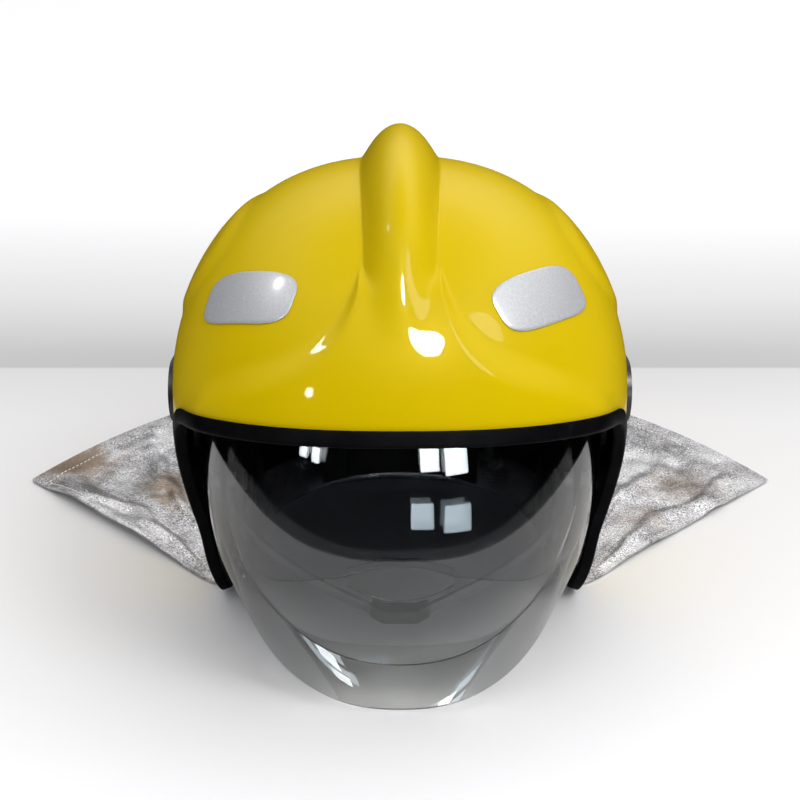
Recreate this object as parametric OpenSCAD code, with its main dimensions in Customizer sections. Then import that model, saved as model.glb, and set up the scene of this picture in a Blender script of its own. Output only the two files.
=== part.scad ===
// Fire helmet with a long face shield, an inner eye visor and an aluminised neck curtain.
// Millimetres, +Z up, face towards -Y. The helmet sits on a table, tipped slightly back:
// the shield's lip and the neck curtain touch z = 0. The origin is on the table, under the
// middle of the whole part. Every piece is drawn in the head frame (visor pivot at 0,0,0)
// and then seated by seat(); the curtain is drawn straight in the table frame. Left and
// right in names are as seen by someone facing the helmet: right is +X.

/* [Shell] */
// Half width of the shell at the temples
shell_side = 124.8; // [124:0.1:127]
// Radius of the shell at the brow, measured from the visor pivot
shell_front = 147; // [142:1:152]
// Radius of the shell at the back of the head
shell_rear = 153; // [148:1:158]
// Roundness of the shell's sections (2 is an ellipse)
shell_pow = 2.35; // [2.2:0.01:2.5]
// Wall thickness of the shell
shell_wall = 3.5; // [3:0.1:4]
// How much the shell narrows below the temples, as a share of its width
shell_tuck = 0.094; // [0.08:0.001:0.1]
// How much the ear lobes flare out again, as a share of the width
lobe_flare = 0.055; // [0.03:0.005:0.06]
// Height of the comb over the crown
comb_height = 17; // [12:1:20]
// Half width of the comb at the crown
comb_half = 20.7; // [18:0.1:23]
// Height of the raised brow below the comb
brow_height = 4.5; // [3:0.5:6]
// Height of the oval side panels
panel_height = 2; // [1.5:0.1:3]

/* [Edge trim] */
// Thickness of the trim's outer leg
trim_leg = 1.4; // [1.2:0.1:2]
// Height of the trim's outer leg above the shell's edge
trim_height = 6; // [4:0.5:7]

/* [Face shield] */
// Half width of the shield at its pivots
shield_side = 108; // [106:0.5:108.5]
// Radius of the shield from the pivot
shield_r = 139; // [137:0.5:139.5]
// Thickness of the shield
shield_wall = 2.2; // [2:0.1:2.5]
// Radius of the flared lip's edge from the pivot
lip_r = 160.3; // [155:0.1:162]
// Half width of the lip's curve
lip_side = 98; // [96:0.5:99]

/* [Eye visor] */
// Half width of the eye visor at its pivots
ocular_side = 100; // [99:0.5:101]
// Radius of the eye visor from the pivot
ocular_r = 130; // [128:0.5:131]
// Thickness of the eye visor
ocular_wall = 2; // [1.8:0.1:2.2]

/* [Liner and harness] */
// Half width of the liner's head cavity
cavity_side = 85; // [83:0.5:86]
// Radius of the liner's head cavity from the pivot
cavity_r = 107; // [105:0.5:108]
// Half width of the headband
band_side = 76.5; // [75:0.5:77]
// Half length of the headband
band_long = 95.5; // [94:0.5:96]
// Width of the crown straps
crown_strap_w = 22; // [16:1:26]

/* [Neck curtain] */
// Thickness of the curtain
curtain_wall = 1.6; // [1.4:0.1:1.8]
// Half width of the curtain over its two tips
curtain_tip_x = 241; // [225:1:250]
// Distance of the tips behind the pivot
curtain_tip_y = 113; // [100:1:120]
// Distance of the hem's middle behind the pivot
curtain_hem_y = 275; // [255:1:285]

/* [Hidden] */
$fn = 64;

tilt = 8.5;
pivot_z = 97.95;
pivot_y = -67;

// Shell rim, as bearing from the front and elevation, one pair per station from the
// brow round to the nape
rim_stations = [
  [0, 14.7], [18, 14.3], [36, 13.4], [49, 12.3], [58, 10.6], [64, 4.8], [68.5, -3.5],
  [72.5, -12], [76, -22.5], [80, -34.2], [86, -41.8], [94.5, -41.2], [107, -36.6],
  [125, -30.5], [150, -29.2], [180, -29.1]
];
rim_n = 15;
// Liner rim, in the same terms
liner_stations = [
  [0, 20], [25, 19.5], [50, 17], [72, 9], [90, 3], [108, 1], [130, -5], [155, -8],
  [180, -8]
];
liner_n = 8;

shield_low = -45.5;
shield_top = 28;
ocular_top = 24;
hub_ring = 18;
bolt_r = 5;
run_fit = 0.05;
anchor_y = -12;
anchor_z = -28;
strap_run = [0, -0.69, -0.724];
strap_across = [0, 0.724, -0.69];
ratchet_z = -50;
pinion_r = 4;
pinion_teeth = 12;
tooth_pitch = 2 * PI * pinion_r / pinion_teeth;
trim_web = 2;

// ---------- helpers ----------

function ss(a, b, x) = let (t = max(0, min(1, (x - a) / (b - a)))) t * t * (3 - 2 * t);
function mix(a, b, t) = a + (b - a) * t;
function unit(v) = v / norm(v);
function unwrap(t) = t < -90 ? t + 360 : t;
// Angle about the pivot line: 0 at the face, 90 at the crown, 180 at the nape
function around(p) = unwrap(atan2(p[2], -p[1]));
function heading(psi, eps) =
  [sin(psi) * cos(eps), -cos(psi) * cos(eps), sin(eps)];
// Distance along d to a rounded body of half width a and radius r about the pivot line
function reach(d, a, r, p) =
  pow(pow(abs(d[0]) / a, p) + pow(norm([d[1], d[2]]) / r, p), -1 / p);
function tucked(q) =
  [q[0] * (1 - shell_tuck * ss(62, -70, q[2]) + lobe_flare * ss(-45, -95, q[2])), q[1], q[2]];

// Smooth curve through stations, t counted in stations
function at(list, i) = list[max(0, min(len(list) - 1, i))];
function curve(list, t) =
  let (
    n = len(list) - 1, i = min(floor(t), n - 1), f = t - i,
    a = i > 0 ? list[i - 1] : [-list[1][0], list[1][1]], b = list[i], c = list[i + 1],
    d = i + 2 <= n ? list[i + 2] : [360 - list[n - 1][0], list[n - 1][1]]
  )
  0.5 * (2 * b + (c - a) * f + (2 * a - 5 * b + 4 * c - d) * f * f
    + (3 * b - a - 3 * c + d) * f * f * f);

// Two matching grids of points make one closed sheet
function sheet_faces(n, m) =
  let (
    k = (n + 1) * (m + 1),
    side = concat(
      [for (j = [0:m]) j], [for (i = [1:n]) i * (m + 1) + m],
      [for (j = [1:m]) n * (m + 1) + m - j], [for (i = [1:n - 1]) (n - i) * (m + 1)]),
    e = len(side)
  )
  concat(
    [for (i = [0:n - 1], j = [0:m - 1]) let (a = i * (m + 1) + j)
      each [[a, a + m + 1, a + m + 2], [a, a + m + 2, a + 1]]],
    [for (i = [0:n - 1], j = [0:m - 1]) let (a = k + i * (m + 1) + j)
      each [[a, a + m + 2, a + m + 1], [a, a + 1, a + m + 2]]],
    [for (s = [0:e - 1]) let (a = side[s], b = side[(s + 1) % e])
      each [[a, b, b + k], [a, b + k, a + k]]]);

module sheet(top, under) {
  n = len(top) - 1;
  m = len(top[0]) - 1;
  polyhedron(
    points = concat([for (r = top) each r], [for (r = under) each r]),
    faces = sheet_faces(n, m), convexity = 6);
}

// Rings of points joined into a closed ring
module ring_tube(rings) {
  n = len(rings);
  m = len(rings[0]);
  polyhedron(
    points = [for (r = rings) each r],
    faces = [for (i = [0:n - 1], j = [0:m - 1])
      let (a = i * m, b = ((i + 1) % n) * m, j2 = (j + 1) % m)
      each [[a + j, b + j, b + j2], [a + j, b + j2, a + j2]]],
    convexity = 6);
}

module seat() {
  translate([0, pivot_y, pivot_z]) rotate([-tilt, 0, 0]) children();
}

module other_side(left) {
  if (left) mirror([1, 0, 0]) children();
  else children();
}

// Cylinder along the pivot line, from x0 to x1 on the right side
module xcyl(r, x0, x1, y = 0, z = 0) {
  translate([x0, y, z]) rotate([0, 90, 0]) cylinder(r = r, h = x1 - x0);
}

// Oval loop of webbing or plate, as a flat outline
function oval(a, b, from, to, n) =
  [for (i = [0:n]) let (t = from + (to - from) * i / n) [a * sin(t), -b * cos(t)]];
module oval_band(a, b, t, from, to, n) {
  polygon(concat(oval(a, b, from, to, n), oval(a - t, b - t, to, from, n)));
}

// ---------- shell surface ----------

function comb_width(th) = mix(17.5, comb_half, ss(45, 85, th));
function comb_at(p, inset) =
  let (th = around(p), q = abs(p[0]) / (comb_width(th) - inset))
  q >= 1 ? 0 : comb_height * ss(22, 62, th) * (1 - ss(115, 172, th)) * pow(1 - q * q, 1.25);
function brow_line(x) = 24 + 21 * pow(19 / max(19, abs(x)), 1.5);
function brow_at(p) =
  let (line = brow_line(p[0]))
  brow_height * (1 - ss(line - 4.5, line + 4.5, around(p))) * (1 - ss(92, 112, abs(p[0])));
function panel_at(p) =
  let (
    y = p[1] - 46, z = p[2] - 88,
    along = -0.99 * y + 0.139 * z, up = 0.139 * y + 0.99 * z,
    q = norm([along / 90, up / 36])
  )
  panel_height * (1 - ss(0.84, 1.04, q));
function relief(p, inset) =
  pow(pow(comb_at(p, inset), 3) + pow(brow_at(p), 3) + pow(panel_at(p), 3), 1 / 3);
function shell_radius(th) = mix(shell_front, shell_rear, ss(90, 170, th));

// Point of the shell's surface, lifted by off (negative goes inwards)
function shell_at(psi, eps, off) =
  let (
    d = heading(psi, eps), rr = shell_radius(around(d)),
    p = d * reach(d, shell_side, rr, shell_pow),
    r = reach(d, shell_side + off, rr + off, shell_pow) + relief(p, off < -1 ? 2.8 : 0)
  )
  tucked(d * r);

// Square grid laid over the dome: [bearing, share of the way from crown to rim, rim turn]
function dome_uv(u, v) =
  let (p = u * sqrt(1 - v * v / 2), q = v * sqrt(1 - u * u / 2))
  [atan2(p, q), min(1, norm([p, q]))];
function dome_aim(list, n, u, v) =
  let (
    w = dome_uv(u, v), s = sign(w[0]), c = curve(list, abs(w[0]) / 180 * n),
    psi = abs(w[0]) + (c[0] - abs(w[0])) * w[1] * w[1]
  )
  [(s < 0 ? -1 : 1) * psi, 90 - (90 - c[1]) * w[1]];
function spread(k) = k * (0.45 + 0.55 * k * k);

shell_cells = 22;
function shell_grid(off) =
  [for (i = [-shell_cells:shell_cells]) [for (j = [-shell_cells:shell_cells])
    let (a = dome_aim(rim_stations, rim_n, spread(i / shell_cells), j / shell_cells))
    shell_at(a[0], a[1], off)]];

// Rim frame at turn t (0 to 30 round the whole rim): [point, outward, away from the edge]
function rim_aim(t) =
  let (w = t % (2 * rim_n), h = w <= rim_n ? w : 2 * rim_n - w, c = curve(rim_stations, h))
  [w <= rim_n ? c[0] : -c[0], c[1]];
function rim_point(t) = let (a = rim_aim(t)) shell_at(a[0], a[1], 0);
function rim_frame(t) =
  let (
    a = rim_aim(t), p = rim_point(t),
    along = unit(rim_point(t + 0.05) - rim_point(t + 2 * rim_n - 0.05)),
    out = unit(cross(
      shell_at(a[0] + 0.5, a[1], 0) - shell_at(a[0] - 0.5, a[1], 0),
      shell_at(a[0], a[1] + 0.5, 0) - shell_at(a[0], a[1] - 0.5, 0))),
    back = unit(cross(out, along))
  )
  [p, unit(cross(along, back)), back];
function off_rim(f, n, b) = f[0] + f[1] * n + f[2] * b;

// ---------- shell and what is fixed to its outside ----------

module outer_shell() {
  color("gold") seat() sheet(shell_grid(0), shell_grid(-shell_wall));
}

module edge_trim() {
  steps = 4 * 2 * rim_n;
  inner = -shell_wall;
  section = [
    [trim_leg, trim_height], [trim_leg + 0.3, -0.5], [1, -trim_web],
    [inner - 1, -trim_web], [inner - 1.8, -0.5], [inner - 1.5, 5], [inner - 0.1, 5],
    [inner - 0.1, 0], [0.1, 0], [0.1, trim_height]
  ];
  color("#161616") seat() ring_tube(
    [for (i = [0:steps - 1]) let (f = rim_frame(i / 4))
      [for (s = section) off_rim(f, s[0], s[1])]]);
}

// Rounded rectangle laid on the shell: centre bearing and elevation, turn, half sizes
function patch_grid(psi, eps, turn, hw, hh, off, n, m) =
  let (
    c = shell_at(psi, eps, 0), u = unit(c),
    e = unit([-u[1], u[0], 0]), g = cross(u, e),
    ax = e * cos(turn) + g * sin(turn), ay = g * cos(turn) - e * sin(turn)
  )
  [for (i = [0:n]) [for (j = [0:m])
    let (
      a = 2 * i / n - 1, b = 2 * j / m - 1,
      k = pow(pow(abs(a), 3.6) + pow(abs(b), 3.6), 1 / 3.6), big = max(abs(a), abs(b)),
      s = k > 0 ? big / k : 1,
      q = c + ax * (a * s * hw) + ay * (b * s * hh), d = unit(q)
    )
    shell_at(atan2(d[0], -d[1]), asin(d[2]), off)]];
module patch(psi, eps, turn) {
  color("#c9ccd0") seat() sheet(
    patch_grid(psi, eps, turn, 30.5, 14, 0.3, 14, 8),
    patch_grid(psi, eps, turn, 30.5, 14, 0.9, 14, 8));
}
module left_reflective_patch() {
  patch(-41, 39, 8);
}
module right_reflective_patch() {
  patch(37.5, 39.6, 7);
}

plate_y = 10;
plate_z = 20;
plate_in = 122.75;
plate_out = 125.4;
screw_gap = 17;

module plate_outline() {
  for (s = [-1, 1]) translate([s * 9, 0]) circle(r = 18);
  translate([-9, -18]) square([18, 36]);
}
module side_plate(left) {
  color("#141414") seat() other_side(left) difference() {
    union() {
      translate([plate_in, plate_y, plate_z]) rotate([90, 0, 90])
        linear_extrude(plate_out - plate_in - 0.8) plate_outline();
      translate([plate_out - 0.8, plate_y, plate_z]) rotate([90, 0, 90])
        linear_extrude(0.8) offset(delta = -0.8) plate_outline();
    }
    xcyl(2.1, plate_out - 2.2, plate_out + 1, plate_y, plate_z);
    for (s = [-1, 1]) xcyl(1.6, plate_in - 1, plate_out + 1, plate_y + s * screw_gap, plate_z);
    for (s = [-1, 1]) xcyl(3.4, plate_out - 1.3, plate_out + 1, plate_y + s * screw_gap, plate_z);
  }
}
module left_side_plate() {
  side_plate(true);
}
module right_side_plate() {
  side_plate(false);
}

module side_plate_screws() {
  color("#5c5c60") seat() for (left = [true, false]) other_side(left) for (s = [-1, 1])
    difference() {
      union() {
        xcyl(1.5, plate_in + 0.1, plate_out - 1.2, plate_y + s * screw_gap, plate_z);
        xcyl(3.1, plate_out - 1.2, plate_out - 0.1, plate_y + s * screw_gap, plate_z);
      }
      translate([plate_out - 0.7, plate_y + s * screw_gap - 2, plate_z - 0.4])
        cube([2, 4, 0.8]);
    }
}

// Rubber pad that fills the space between the flat plate and the round shell
module plate_gasket(left) {
  n = 12;
  function pad(i, j) =
    let (
      a = 2 * i / n - 1, b = 2 * j / n - 1, k = pow(pow(abs(a), 4) + pow(abs(b), 4), 0.25),
      s = k > 0 ? max(abs(a), abs(b)) / k : 1
    )
    [plate_y + a * s * 24, plate_z + b * s * 15.5];
  function wall(q) =
    let (d = unit([119, q[0], q[1]])) shell_at(atan2(d[0], -d[1]), asin(d[2]), 0.35);
  color("#202020") seat() other_side(left) sheet(
    [for (i = [0:n]) [for (j = [0:n]) wall(pad(i, j))]],
    [for (i = [0:n]) [for (j = [0:n]) let (q = pad(i, j)) [plate_in - 0.1, q[0], q[1]]]]);
}
module left_plate_gasket() {
  plate_gasket(true);
}
module right_plate_gasket() {
  plate_gasket(false);
}

// ---------- liner and visor pivots ----------

liner_cells = 12;
function liner_out(psi, eps) =
  let (
    d = heading(psi, eps), th = around(d), rr = shell_radius(th),
    near = norm([d[1], d[2]]) * 100,
    k = ss(98, 120, th) * ss(28, 46, near),
    r = reach(d, mix(93.5, shell_side - 4.6, k), mix(123.5, rr - 4.6, k), shell_pow)
  )
  tucked(d * r);
function liner_in(psi, eps) =
  let (d = heading(psi, eps), r = mix(cavity_r, cavity_r + 5, ss(100, 170, around(d))))
  d * reach(d, cavity_side, r, 2.2);
function liner_grid(inside) =
  [for (i = [-liner_cells:liner_cells]) [for (j = [-liner_cells:liner_cells])
    let (a = dome_aim(liner_stations, liner_n, i / liner_cells, j / liner_cells))
    inside ? liner_in(a[0], a[1]) : liner_out(a[0], a[1])]];
module impact_liner() {
  color("#1b1b1c") seat() sheet(liner_grid(false), liner_grid(true));
}

module pivot_bracket(left) {
  color("#2a2a2c") seat() other_side(left) difference() {
    union() {
      xcyl(10, 108.3, 110);
      xcyl(14, 110, 112.8);
    }
    xcyl(bolt_r + run_fit, 108, 111.6);
  }
}
module left_pivot_bracket() {
  pivot_bracket(true);
}
module right_pivot_bracket() {
  pivot_bracket(false);
}

module pivot_bolt(left) {
  color("#b9bcc0") seat() other_side(left) difference() {
    union() {
      xcyl(9, 94, 96.3);
      xcyl(bolt_r, 96.3, 111.2);
    }
    translate([93.5, 0, 0]) rotate([90, 0, 90]) cylinder(r = 2.9, h = 2, $fn = 6);
  }
}
module left_pivot_bolt() {
  pivot_bolt(true);
}
module right_pivot_bolt() {
  pivot_bolt(false);
}

module pivot_washers() {
  color("#8d9094") seat() for (left = [true, false]) other_side(left) difference() {
    xcyl(9, 100.2, 104.4);
    xcyl(bolt_r + run_fit, 100, 105);
  }
}

// ---------- head harness ----------

module headband() {
  color("#26282b") seat() translate([0, 0, 18]) linear_extrude(28)
    difference() {
      polygon(oval(band_side, band_long, 0, 356, 89));
      polygon(oval(band_side - 1.6, band_long - 1.6, 0, 356, 89));
    }
}

module sweatband() {
  color("#3a2f28") seat() translate([0, 0, 17]) linear_extrude(30)
    oval_band(band_side - 2, band_long - 2, 5, -62, 62, 40);
}

function arch(a, h, p, from, n) =
  [for (i = [0:n]) let (z = h * sin(90 * i / n) * (1 - from / h) + from)
    [a * pow(max(0, 1 - pow(z / h, p)), 1 / p), z]];
module strap_arch(a, h) {
  out = arch(a, h, 2.6, 24, 20);
  in = arch(a - 1.4, h - 1.4, 2.6, 24, 20);
  translate([0, crown_strap_w / 2, 0]) rotate([90, 0, 0]) linear_extrude(crown_strap_w)
    polygon(concat(
      out, [for (i = [1:20]) [-out[20 - i][0], out[20 - i][1]]],
      [for (p = in) [-p[0], p[1]]], [for (i = [1:20]) in[20 - i]]));
}
module crown_strap_side() {
  color("#2f3236") seat() strap_arch(band_side - 2.2, 103);
}
module crown_strap_long() {
  color("#2f3236") seat() rotate([0, 0, 90]) strap_arch(band_long - 7.6, 100.8);
}

module crown_pad() {
  color("#232325") seat() difference() {
    translate([0, 0, 87]) cylinder(r = 34, h = 7);
    for (x = [-14, 14]) for (y = [-14, 14])
      translate([x, y, 92.6]) cylinder(r = 2.2, h = 3);
  }
}

nape_bottom = ratchet_z - 12;
module nape_links() {
  color("#26282b") seat() for (s = [-1, 1])
    translate([s * 40 - 6, 79.4, nape_bottom + 3]) cube([12, 1.5, 98]);
}
module nape_cradle() {
  color("#26282b") seat() translate([0, 0, nape_bottom]) linear_extrude(24)
    oval_band(band_side, band_long, 1.8, 140, 220, 30);
}

module ratchet_housing() {
  color("#1d1e20") seat() translate([0, 98.2, ratchet_z]) difference() {
    union() {
      translate([-32, 0, -11.5]) cube([64, 9.6, 23]);
      for (s = [-1, 1]) translate([s * 32, 9.6, 0]) rotate([90, 0, 0])
        cylinder(r = 11.5, h = 9.6);
    }
    translate([-50, 2, -8.1]) cube([100, 4, 16.2]);
    translate([0, 12, 0]) rotate([90, 0, 0]) cylinder(r = 3 + run_fit, h = 8);
  }
}

module ratchet_knob() {
  color("#111111") seat() translate([0, 98.2, ratchet_z]) difference() {
    union() {
      translate([0, 22, 0]) rotate([90, 0, 0]) cylinder(r = 17, h = 12);
      translate([0, 10.5, 0]) rotate([90, 0, 0]) cylinder(r = 3, h = 6);
    }
    for (i = [0:11]) rotate([0, i * 30, 0]) translate([19.4, 23, 0])
      rotate([90, 0, 0]) cylinder(r = 4, h = 14);
    translate([0, 23, 0]) rotate([90, 0, 0]) cylinder(r = 9, h = 3);
  }
}

module ratchet_pinion() {
  step = 360 / pinion_teeth;
  tooth = [[3.1, -10], [4.55, -3.2], [4.55, 3.2], [3.1, 10]];
  color("#d0d2d6") seat() translate([0, 103.9, ratchet_z]) rotate([90, 0, 0])
    linear_extrude(3.5) polygon([
      for (i = [0:pinion_teeth - 1]) for (t = tooth)
        [t[0] * cos(i * step + t[1]), t[0] * sin(i * step + t[1])]
    ]);
}

// Slotted tail of the headband; its teeth face the pinion
module rack(left) {
  y = left ? 2.3 : 4.3;
  s = left ? 1 : -1;
  color("#303338") seat() translate([0, 98.2 + y + 1.4, ratchet_z]) rotate([90, 0, 0])
    linear_extrude(1.4) difference() {
      translate([left ? -62 : -14, -7.7]) square([76, 15.4]);
      translate([left ? -21 : -7, left ? -6.3 : -5.4]) square([28, 11.7]);
      translate([s * -54, 0]) circle(r = 2.5);
    }
  color("#303338") seat() translate([0, 98.2 + y + 1.4, ratchet_z]) rotate([90, 0, 0])
    linear_extrude(1.4) for (i = [0:11])
      translate([s * (6 - i * tooth_pitch), 0])
        polygon([[-0.7, -s * 6.5], [0, -s * 5.05], [0.7, -s * 6.5]]);
}
module left_rack() {
  rack(true);
}
module right_rack() {
  rack(false);
}

// ---------- ear pads and chin strap ----------

module ear_outline(r, h) {
  translate([-r, -h]) square([2 * r, 2 * h]);
  for (z = [-h, h]) translate([0, z]) circle(r = r);
}
module ear_pad(left) {
  color("#19191a") seat() other_side(left) translate([82, 18, -51]) rotate([90, 0, 90])
    union() {
      linear_extrude(9) ear_outline(17, 12);
      translate([0, 0, 9]) linear_extrude(2) ear_outline(14, 12);
    }
}
module left_ear_pad() {
  ear_pad(true);
}
module right_ear_pad() {
  ear_pad(false);
}

module strap_anchors() {
  color("#77797d") seat() for (left = [true, false]) other_side(left) union() {
    xcyl(6, 87.5, 89, anchor_y, anchor_z);
    xcyl(4, 89, 106.5, anchor_y, anchor_z);
    xcyl(5.5, 106.5, 108.5, anchor_y, anchor_z);
  }
}

module strap_hanger(left) {
  color("#3a3b3e") seat() other_side(left) difference() {
    union() {
      xcyl(8.5, 90, 92, anchor_y, anchor_z);
      translate([91, anchor_y, anchor_z]) rotate([-43.6, 0, 0])
        translate([-1, -8.5, -20]) cube([2, 17, 20]);
    }
    xcyl(4 + run_fit, 89, 93, anchor_y, anchor_z);
  }
}
module left_strap_hanger() {
  strap_hanger(true);
}
module right_strap_hanger() {
  strap_hanger(false);
}

// Webbing and cup follow one curve, drawn in the plane across the chin
function strap_xy(t) = [91 - 79 * pow(t, 1.7), 12 + 68 * t - 4 * t * t];
function strap_at(t, lift, side) =
  let (
    a = strap_xy(t), b = strap_xy(t + 0.01), n = unit([b[1] - a[1], a[0] - b[0]]),
    q = a + n * lift
  )
  [q[0], anchor_y, anchor_z] + strap_run * q[1] + strap_across * side;
module chin_strap(left) {
  n = 14;
  color("#6b6e72") seat() other_side(left) sheet(
    [for (i = [0:n]) [for (s = [-8.5, 8.5]) strap_at(0.02 + 0.97 * i / n, -0.8, s)]],
    [for (i = [0:n]) [for (s = [-8.5, 8.5]) strap_at(0.02 + 0.97 * i / n, 0.8, s)]]);
}
module left_chin_strap() {
  chin_strap(true);
}
module right_chin_strap() {
  chin_strap(false);
}

module chin_cup() {
  color("#35373a") seat() translate([0, anchor_y, anchor_z])
    rotate([-43.6, 0, 0]) translate([0, -10.5, 0]) rotate([-90, 0, 0])
    linear_extrude(21) polygon([
      [-14, 72.6], [-8, 74.4], [8, 74.4], [14, 72.6], [16, 75.6], [9, 79.5], [-9, 79.5],
      [-16, 75.6]
    ]);
}

// ---------- visors ----------

function visor_at(a, r, p, w, th) =
  let (c = r * pow(cos(w), 2 / p))
  [sign(w) * a * pow(abs(sin(w)), 2 / p), -c * cos(th), c * sin(th)];
function edge_turn(a, r, p) = acos(pow(hub_ring / r, p / 2));

function crease_turn(x) = min(-44 + 21 * pow(x / 82, 2), shield_low + 22);
function shield_at(w, v, off) =
  let (
    main = visor_at(shield_side + off, shield_r + off, 2.4, w, 0),
    crease = crease_turn(main[0]),
    lip = 1 - ss(84, 94, abs(main[0])),
    rho = -main[1],
    top = v <= 1 ? mix(shield_top, crease, v) : crease,
    low = v <= 1 ? 0 : v - 1,
    end = visor_at(lip_side + off, lip_r, 2.4, w, 0),
    flat = [main[0], rho, mix(top, shield_low, low)],
    flare = low == 0 ? flat : [
      mix(main[0], end[0], low), mix(rho, -end[1], low), mix(top, shield_low, low)
    ],
    thick = low == 0 ? 0 : off * low,
    q = mix(flat, flare, lip)
  )
  [q[0], -q[1] * cos(q[2]) - thick * 0.5 * lip, q[1] * sin(q[2]) + thick * 0.6 * lip];
shield_cols = 40;
shield_rows = [
  0, 0.15, 0.3, 0.45, 0.6, 0.75, 0.88, 1, 1.25, 1.5, 1.75, 2
];
function shield_grid(off) =
  let (w = edge_turn(shield_side, shield_r, 2.4))
  [for (i = [-shield_cols / 2:shield_cols / 2]) [for (v = shield_rows)
    shield_at(w * i / (shield_cols / 2), v, off)]];
module face_shield() {
  color("#dfe6ea", 0.35) seat() sheet(shield_grid(0), shield_grid(-shield_wall));
}

module shield_hub(left) {
  color("#1c1c1e") seat() other_side(left) difference() {
    xcyl(24, 104.9, 107.9);
    xcyl(bolt_r + run_fit, 104, 109);
  }
}
module left_shield_hub() {
  shield_hub(true);
}
module right_shield_hub() {
  shield_hub(false);
}

// Lower edge of the eye visor: two lobes with a nose arch between them
function ocular_low(x) =
  -13.6 - 5.2 * ss(6, 42, abs(x)) - 20 * pow(max(0, abs(x) - 36) / 54, 1.4);
function ocular_grid(off) =
  let (n = 36, m = 9, w = edge_turn(ocular_side, ocular_r, 2.4))
  [for (i = [-n / 2:n / 2]) [for (j = [0:m])
    let (turn = w * i / (n / 2), x = visor_at(ocular_side, ocular_r, 2.4, turn, 0)[0])
    visor_at(ocular_side + off, ocular_r + off, 2.4, turn,
      mix(ocular_top, ocular_low(x), j / m))]];
module ocular_visor() {
  color("#e6edf0", 0.35) seat() sheet(ocular_grid(0), ocular_grid(-ocular_wall));
}

module ocular_hub(left) {
  color("#1c1c1e") seat() other_side(left) difference() {
    xcyl(21, 96.8, 99.8);
    xcyl(bolt_r + run_fit, 96, 101);
  }
}
module left_ocular_hub() {
  ocular_hub(true);
}
module right_ocular_hub() {
  ocular_hub(false);
}

// Soft clear saddle under the nose arch
module nose_piece() {
  n = 12;
  m = 4;
  function saddle(i, j, off) =
    let (
      x = 26 * (2 * i / n - 1), k = j / m,
      th = mix(ocular_low(x) + 1.5, -25 + 5 * pow(x / 26, 2), k),
      r = ocular_r + off - 1.9 * k * (1 - pow(x / 26, 2))
    )
    [x, -r * pow(1 - pow(abs(x) / ocular_side, 2.4), 1 / 2.4) * cos(th),
      r * pow(1 - pow(abs(x) / ocular_side, 2.4), 1 / 2.4) * sin(th)];
  color("#dfe4e8", 0.5) seat() sheet(
    [for (i = [0:n]) [for (j = [0:m]) saddle(i, j, -2.1)]],
    [for (i = [0:n]) [for (j = [0:m]) saddle(i, j, -3.9)]]);
}

// ---------- neck curtain ----------

curtain_from = 10.9;
curtain_n = 44;
curtain_wave = 1.5;
function curtain_turn(i) = curtain_from + (2 * rim_n - 2 * curtain_from) * i / curtain_n;
// Head frame to table frame
function seated(p) =
  [p[0], pivot_y + p[1] * cos(tilt) + p[2] * sin(tilt),
    pivot_z - p[1] * sin(tilt) + p[2] * cos(tilt)];
function hem_at(i) =
  let (
    q = 1 - abs(2 * i / curtain_n - 1), s = i < curtain_n / 2 ? 1 : -1,
    a = [curtain_tip_x, curtain_tip_y], b = [150, curtain_hem_y - 7], c = [0, curtain_hem_y],
    p = a * pow(1 - q, 2) + b * 2 * q * (1 - q) + c * q * q
  )
  [s * p[0], pivot_y + p[1]];
function curtain_line(i, up) =
  let (
    f = rim_frame(curtain_turn(i)), half = curtain_wall / 2,
    foot = seated(f[0]), flat = unit([foot[0], foot[1] - pivot_y - 18]),
    inner = [foot[0], foot[1]] - flat * 9, outer = [foot[0], foot[1]] + flat * 7,
    hem = hem_at(i), z = up ? curtain_wall : 0,
    lift = up ? 0 : curtain_wall,
    a = seated(off_rim(f, -shell_wall - 4.6 - (up ? 0 : curtain_wall), 15))
  )
  concat(
    [a, [inner[0], inner[1], 9] - [flat[0], flat[1], 0] * lift,
      [inner[0], inner[1], 3.4] - [flat[0], flat[1], 0] * lift],
    [for (k = [0, 0.25, 0.5, 0.75, 1])
      let (p = outer + (hem - outer) * k)
      [p[0], p[1], z + curtain_wave * sin(180 * k) * (1 - cos(i * 45)) / 2]]);
module neck_curtain() {
  color("#b8b9ba") sheet(
    [for (i = [0:curtain_n]) curtain_line(i, true)],
    [for (i = [0:curtain_n]) curtain_line(i, false)]);
}

module curtain_band() {
  n = 36;
  function band(i, off) =
    let (f = rim_frame(mix(curtain_from + 0.5, 2 * rim_n - curtain_from - 0.5, i / n)))
    [off_rim(f, off, 6), off_rim(f, off, 13)];
  color("#202123") seat() sheet(
    [for (i = [0:n]) band(i, -shell_wall - 3.7)],
    [for (i = [0:n]) band(i, -shell_wall - 2.3)]);
}

module curtain_snaps() {
  color("#c3c6ca") seat() for (i = [0:6])
    let (f = rim_frame(mix(curtain_from + 0.8, 2 * rim_n - curtain_from - 0.8, i / 6)))
    translate(off_rim(f, -shell_wall - 9.2, 11.5)) sphere(r = 2.4);
}

outer_shell();
edge_trim();
left_reflective_patch();
right_reflective_patch();
left_plate_gasket();
right_plate_gasket();
left_side_plate();
right_side_plate();
side_plate_screws();
impact_liner();
left_pivot_bracket();
right_pivot_bracket();
left_pivot_bolt();
right_pivot_bolt();
pivot_washers();
headband();
sweatband();
crown_strap_side();
crown_strap_long();
crown_pad();
nape_links();
nape_cradle();
ratchet_housing();
ratchet_knob();
ratchet_pinion();
left_rack();
right_rack();
left_ear_pad();
right_ear_pad();
strap_anchors();
left_strap_hanger();
right_strap_hanger();
left_chin_strap();
right_chin_strap();
chin_cup();
face_shield();
left_shield_hub();
right_shield_hub();
ocular_visor();
left_ocular_hub();
right_ocular_hub();
nose_piece();
curtain_band();
neck_curtain();
curtain_snaps();
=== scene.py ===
import math

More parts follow.
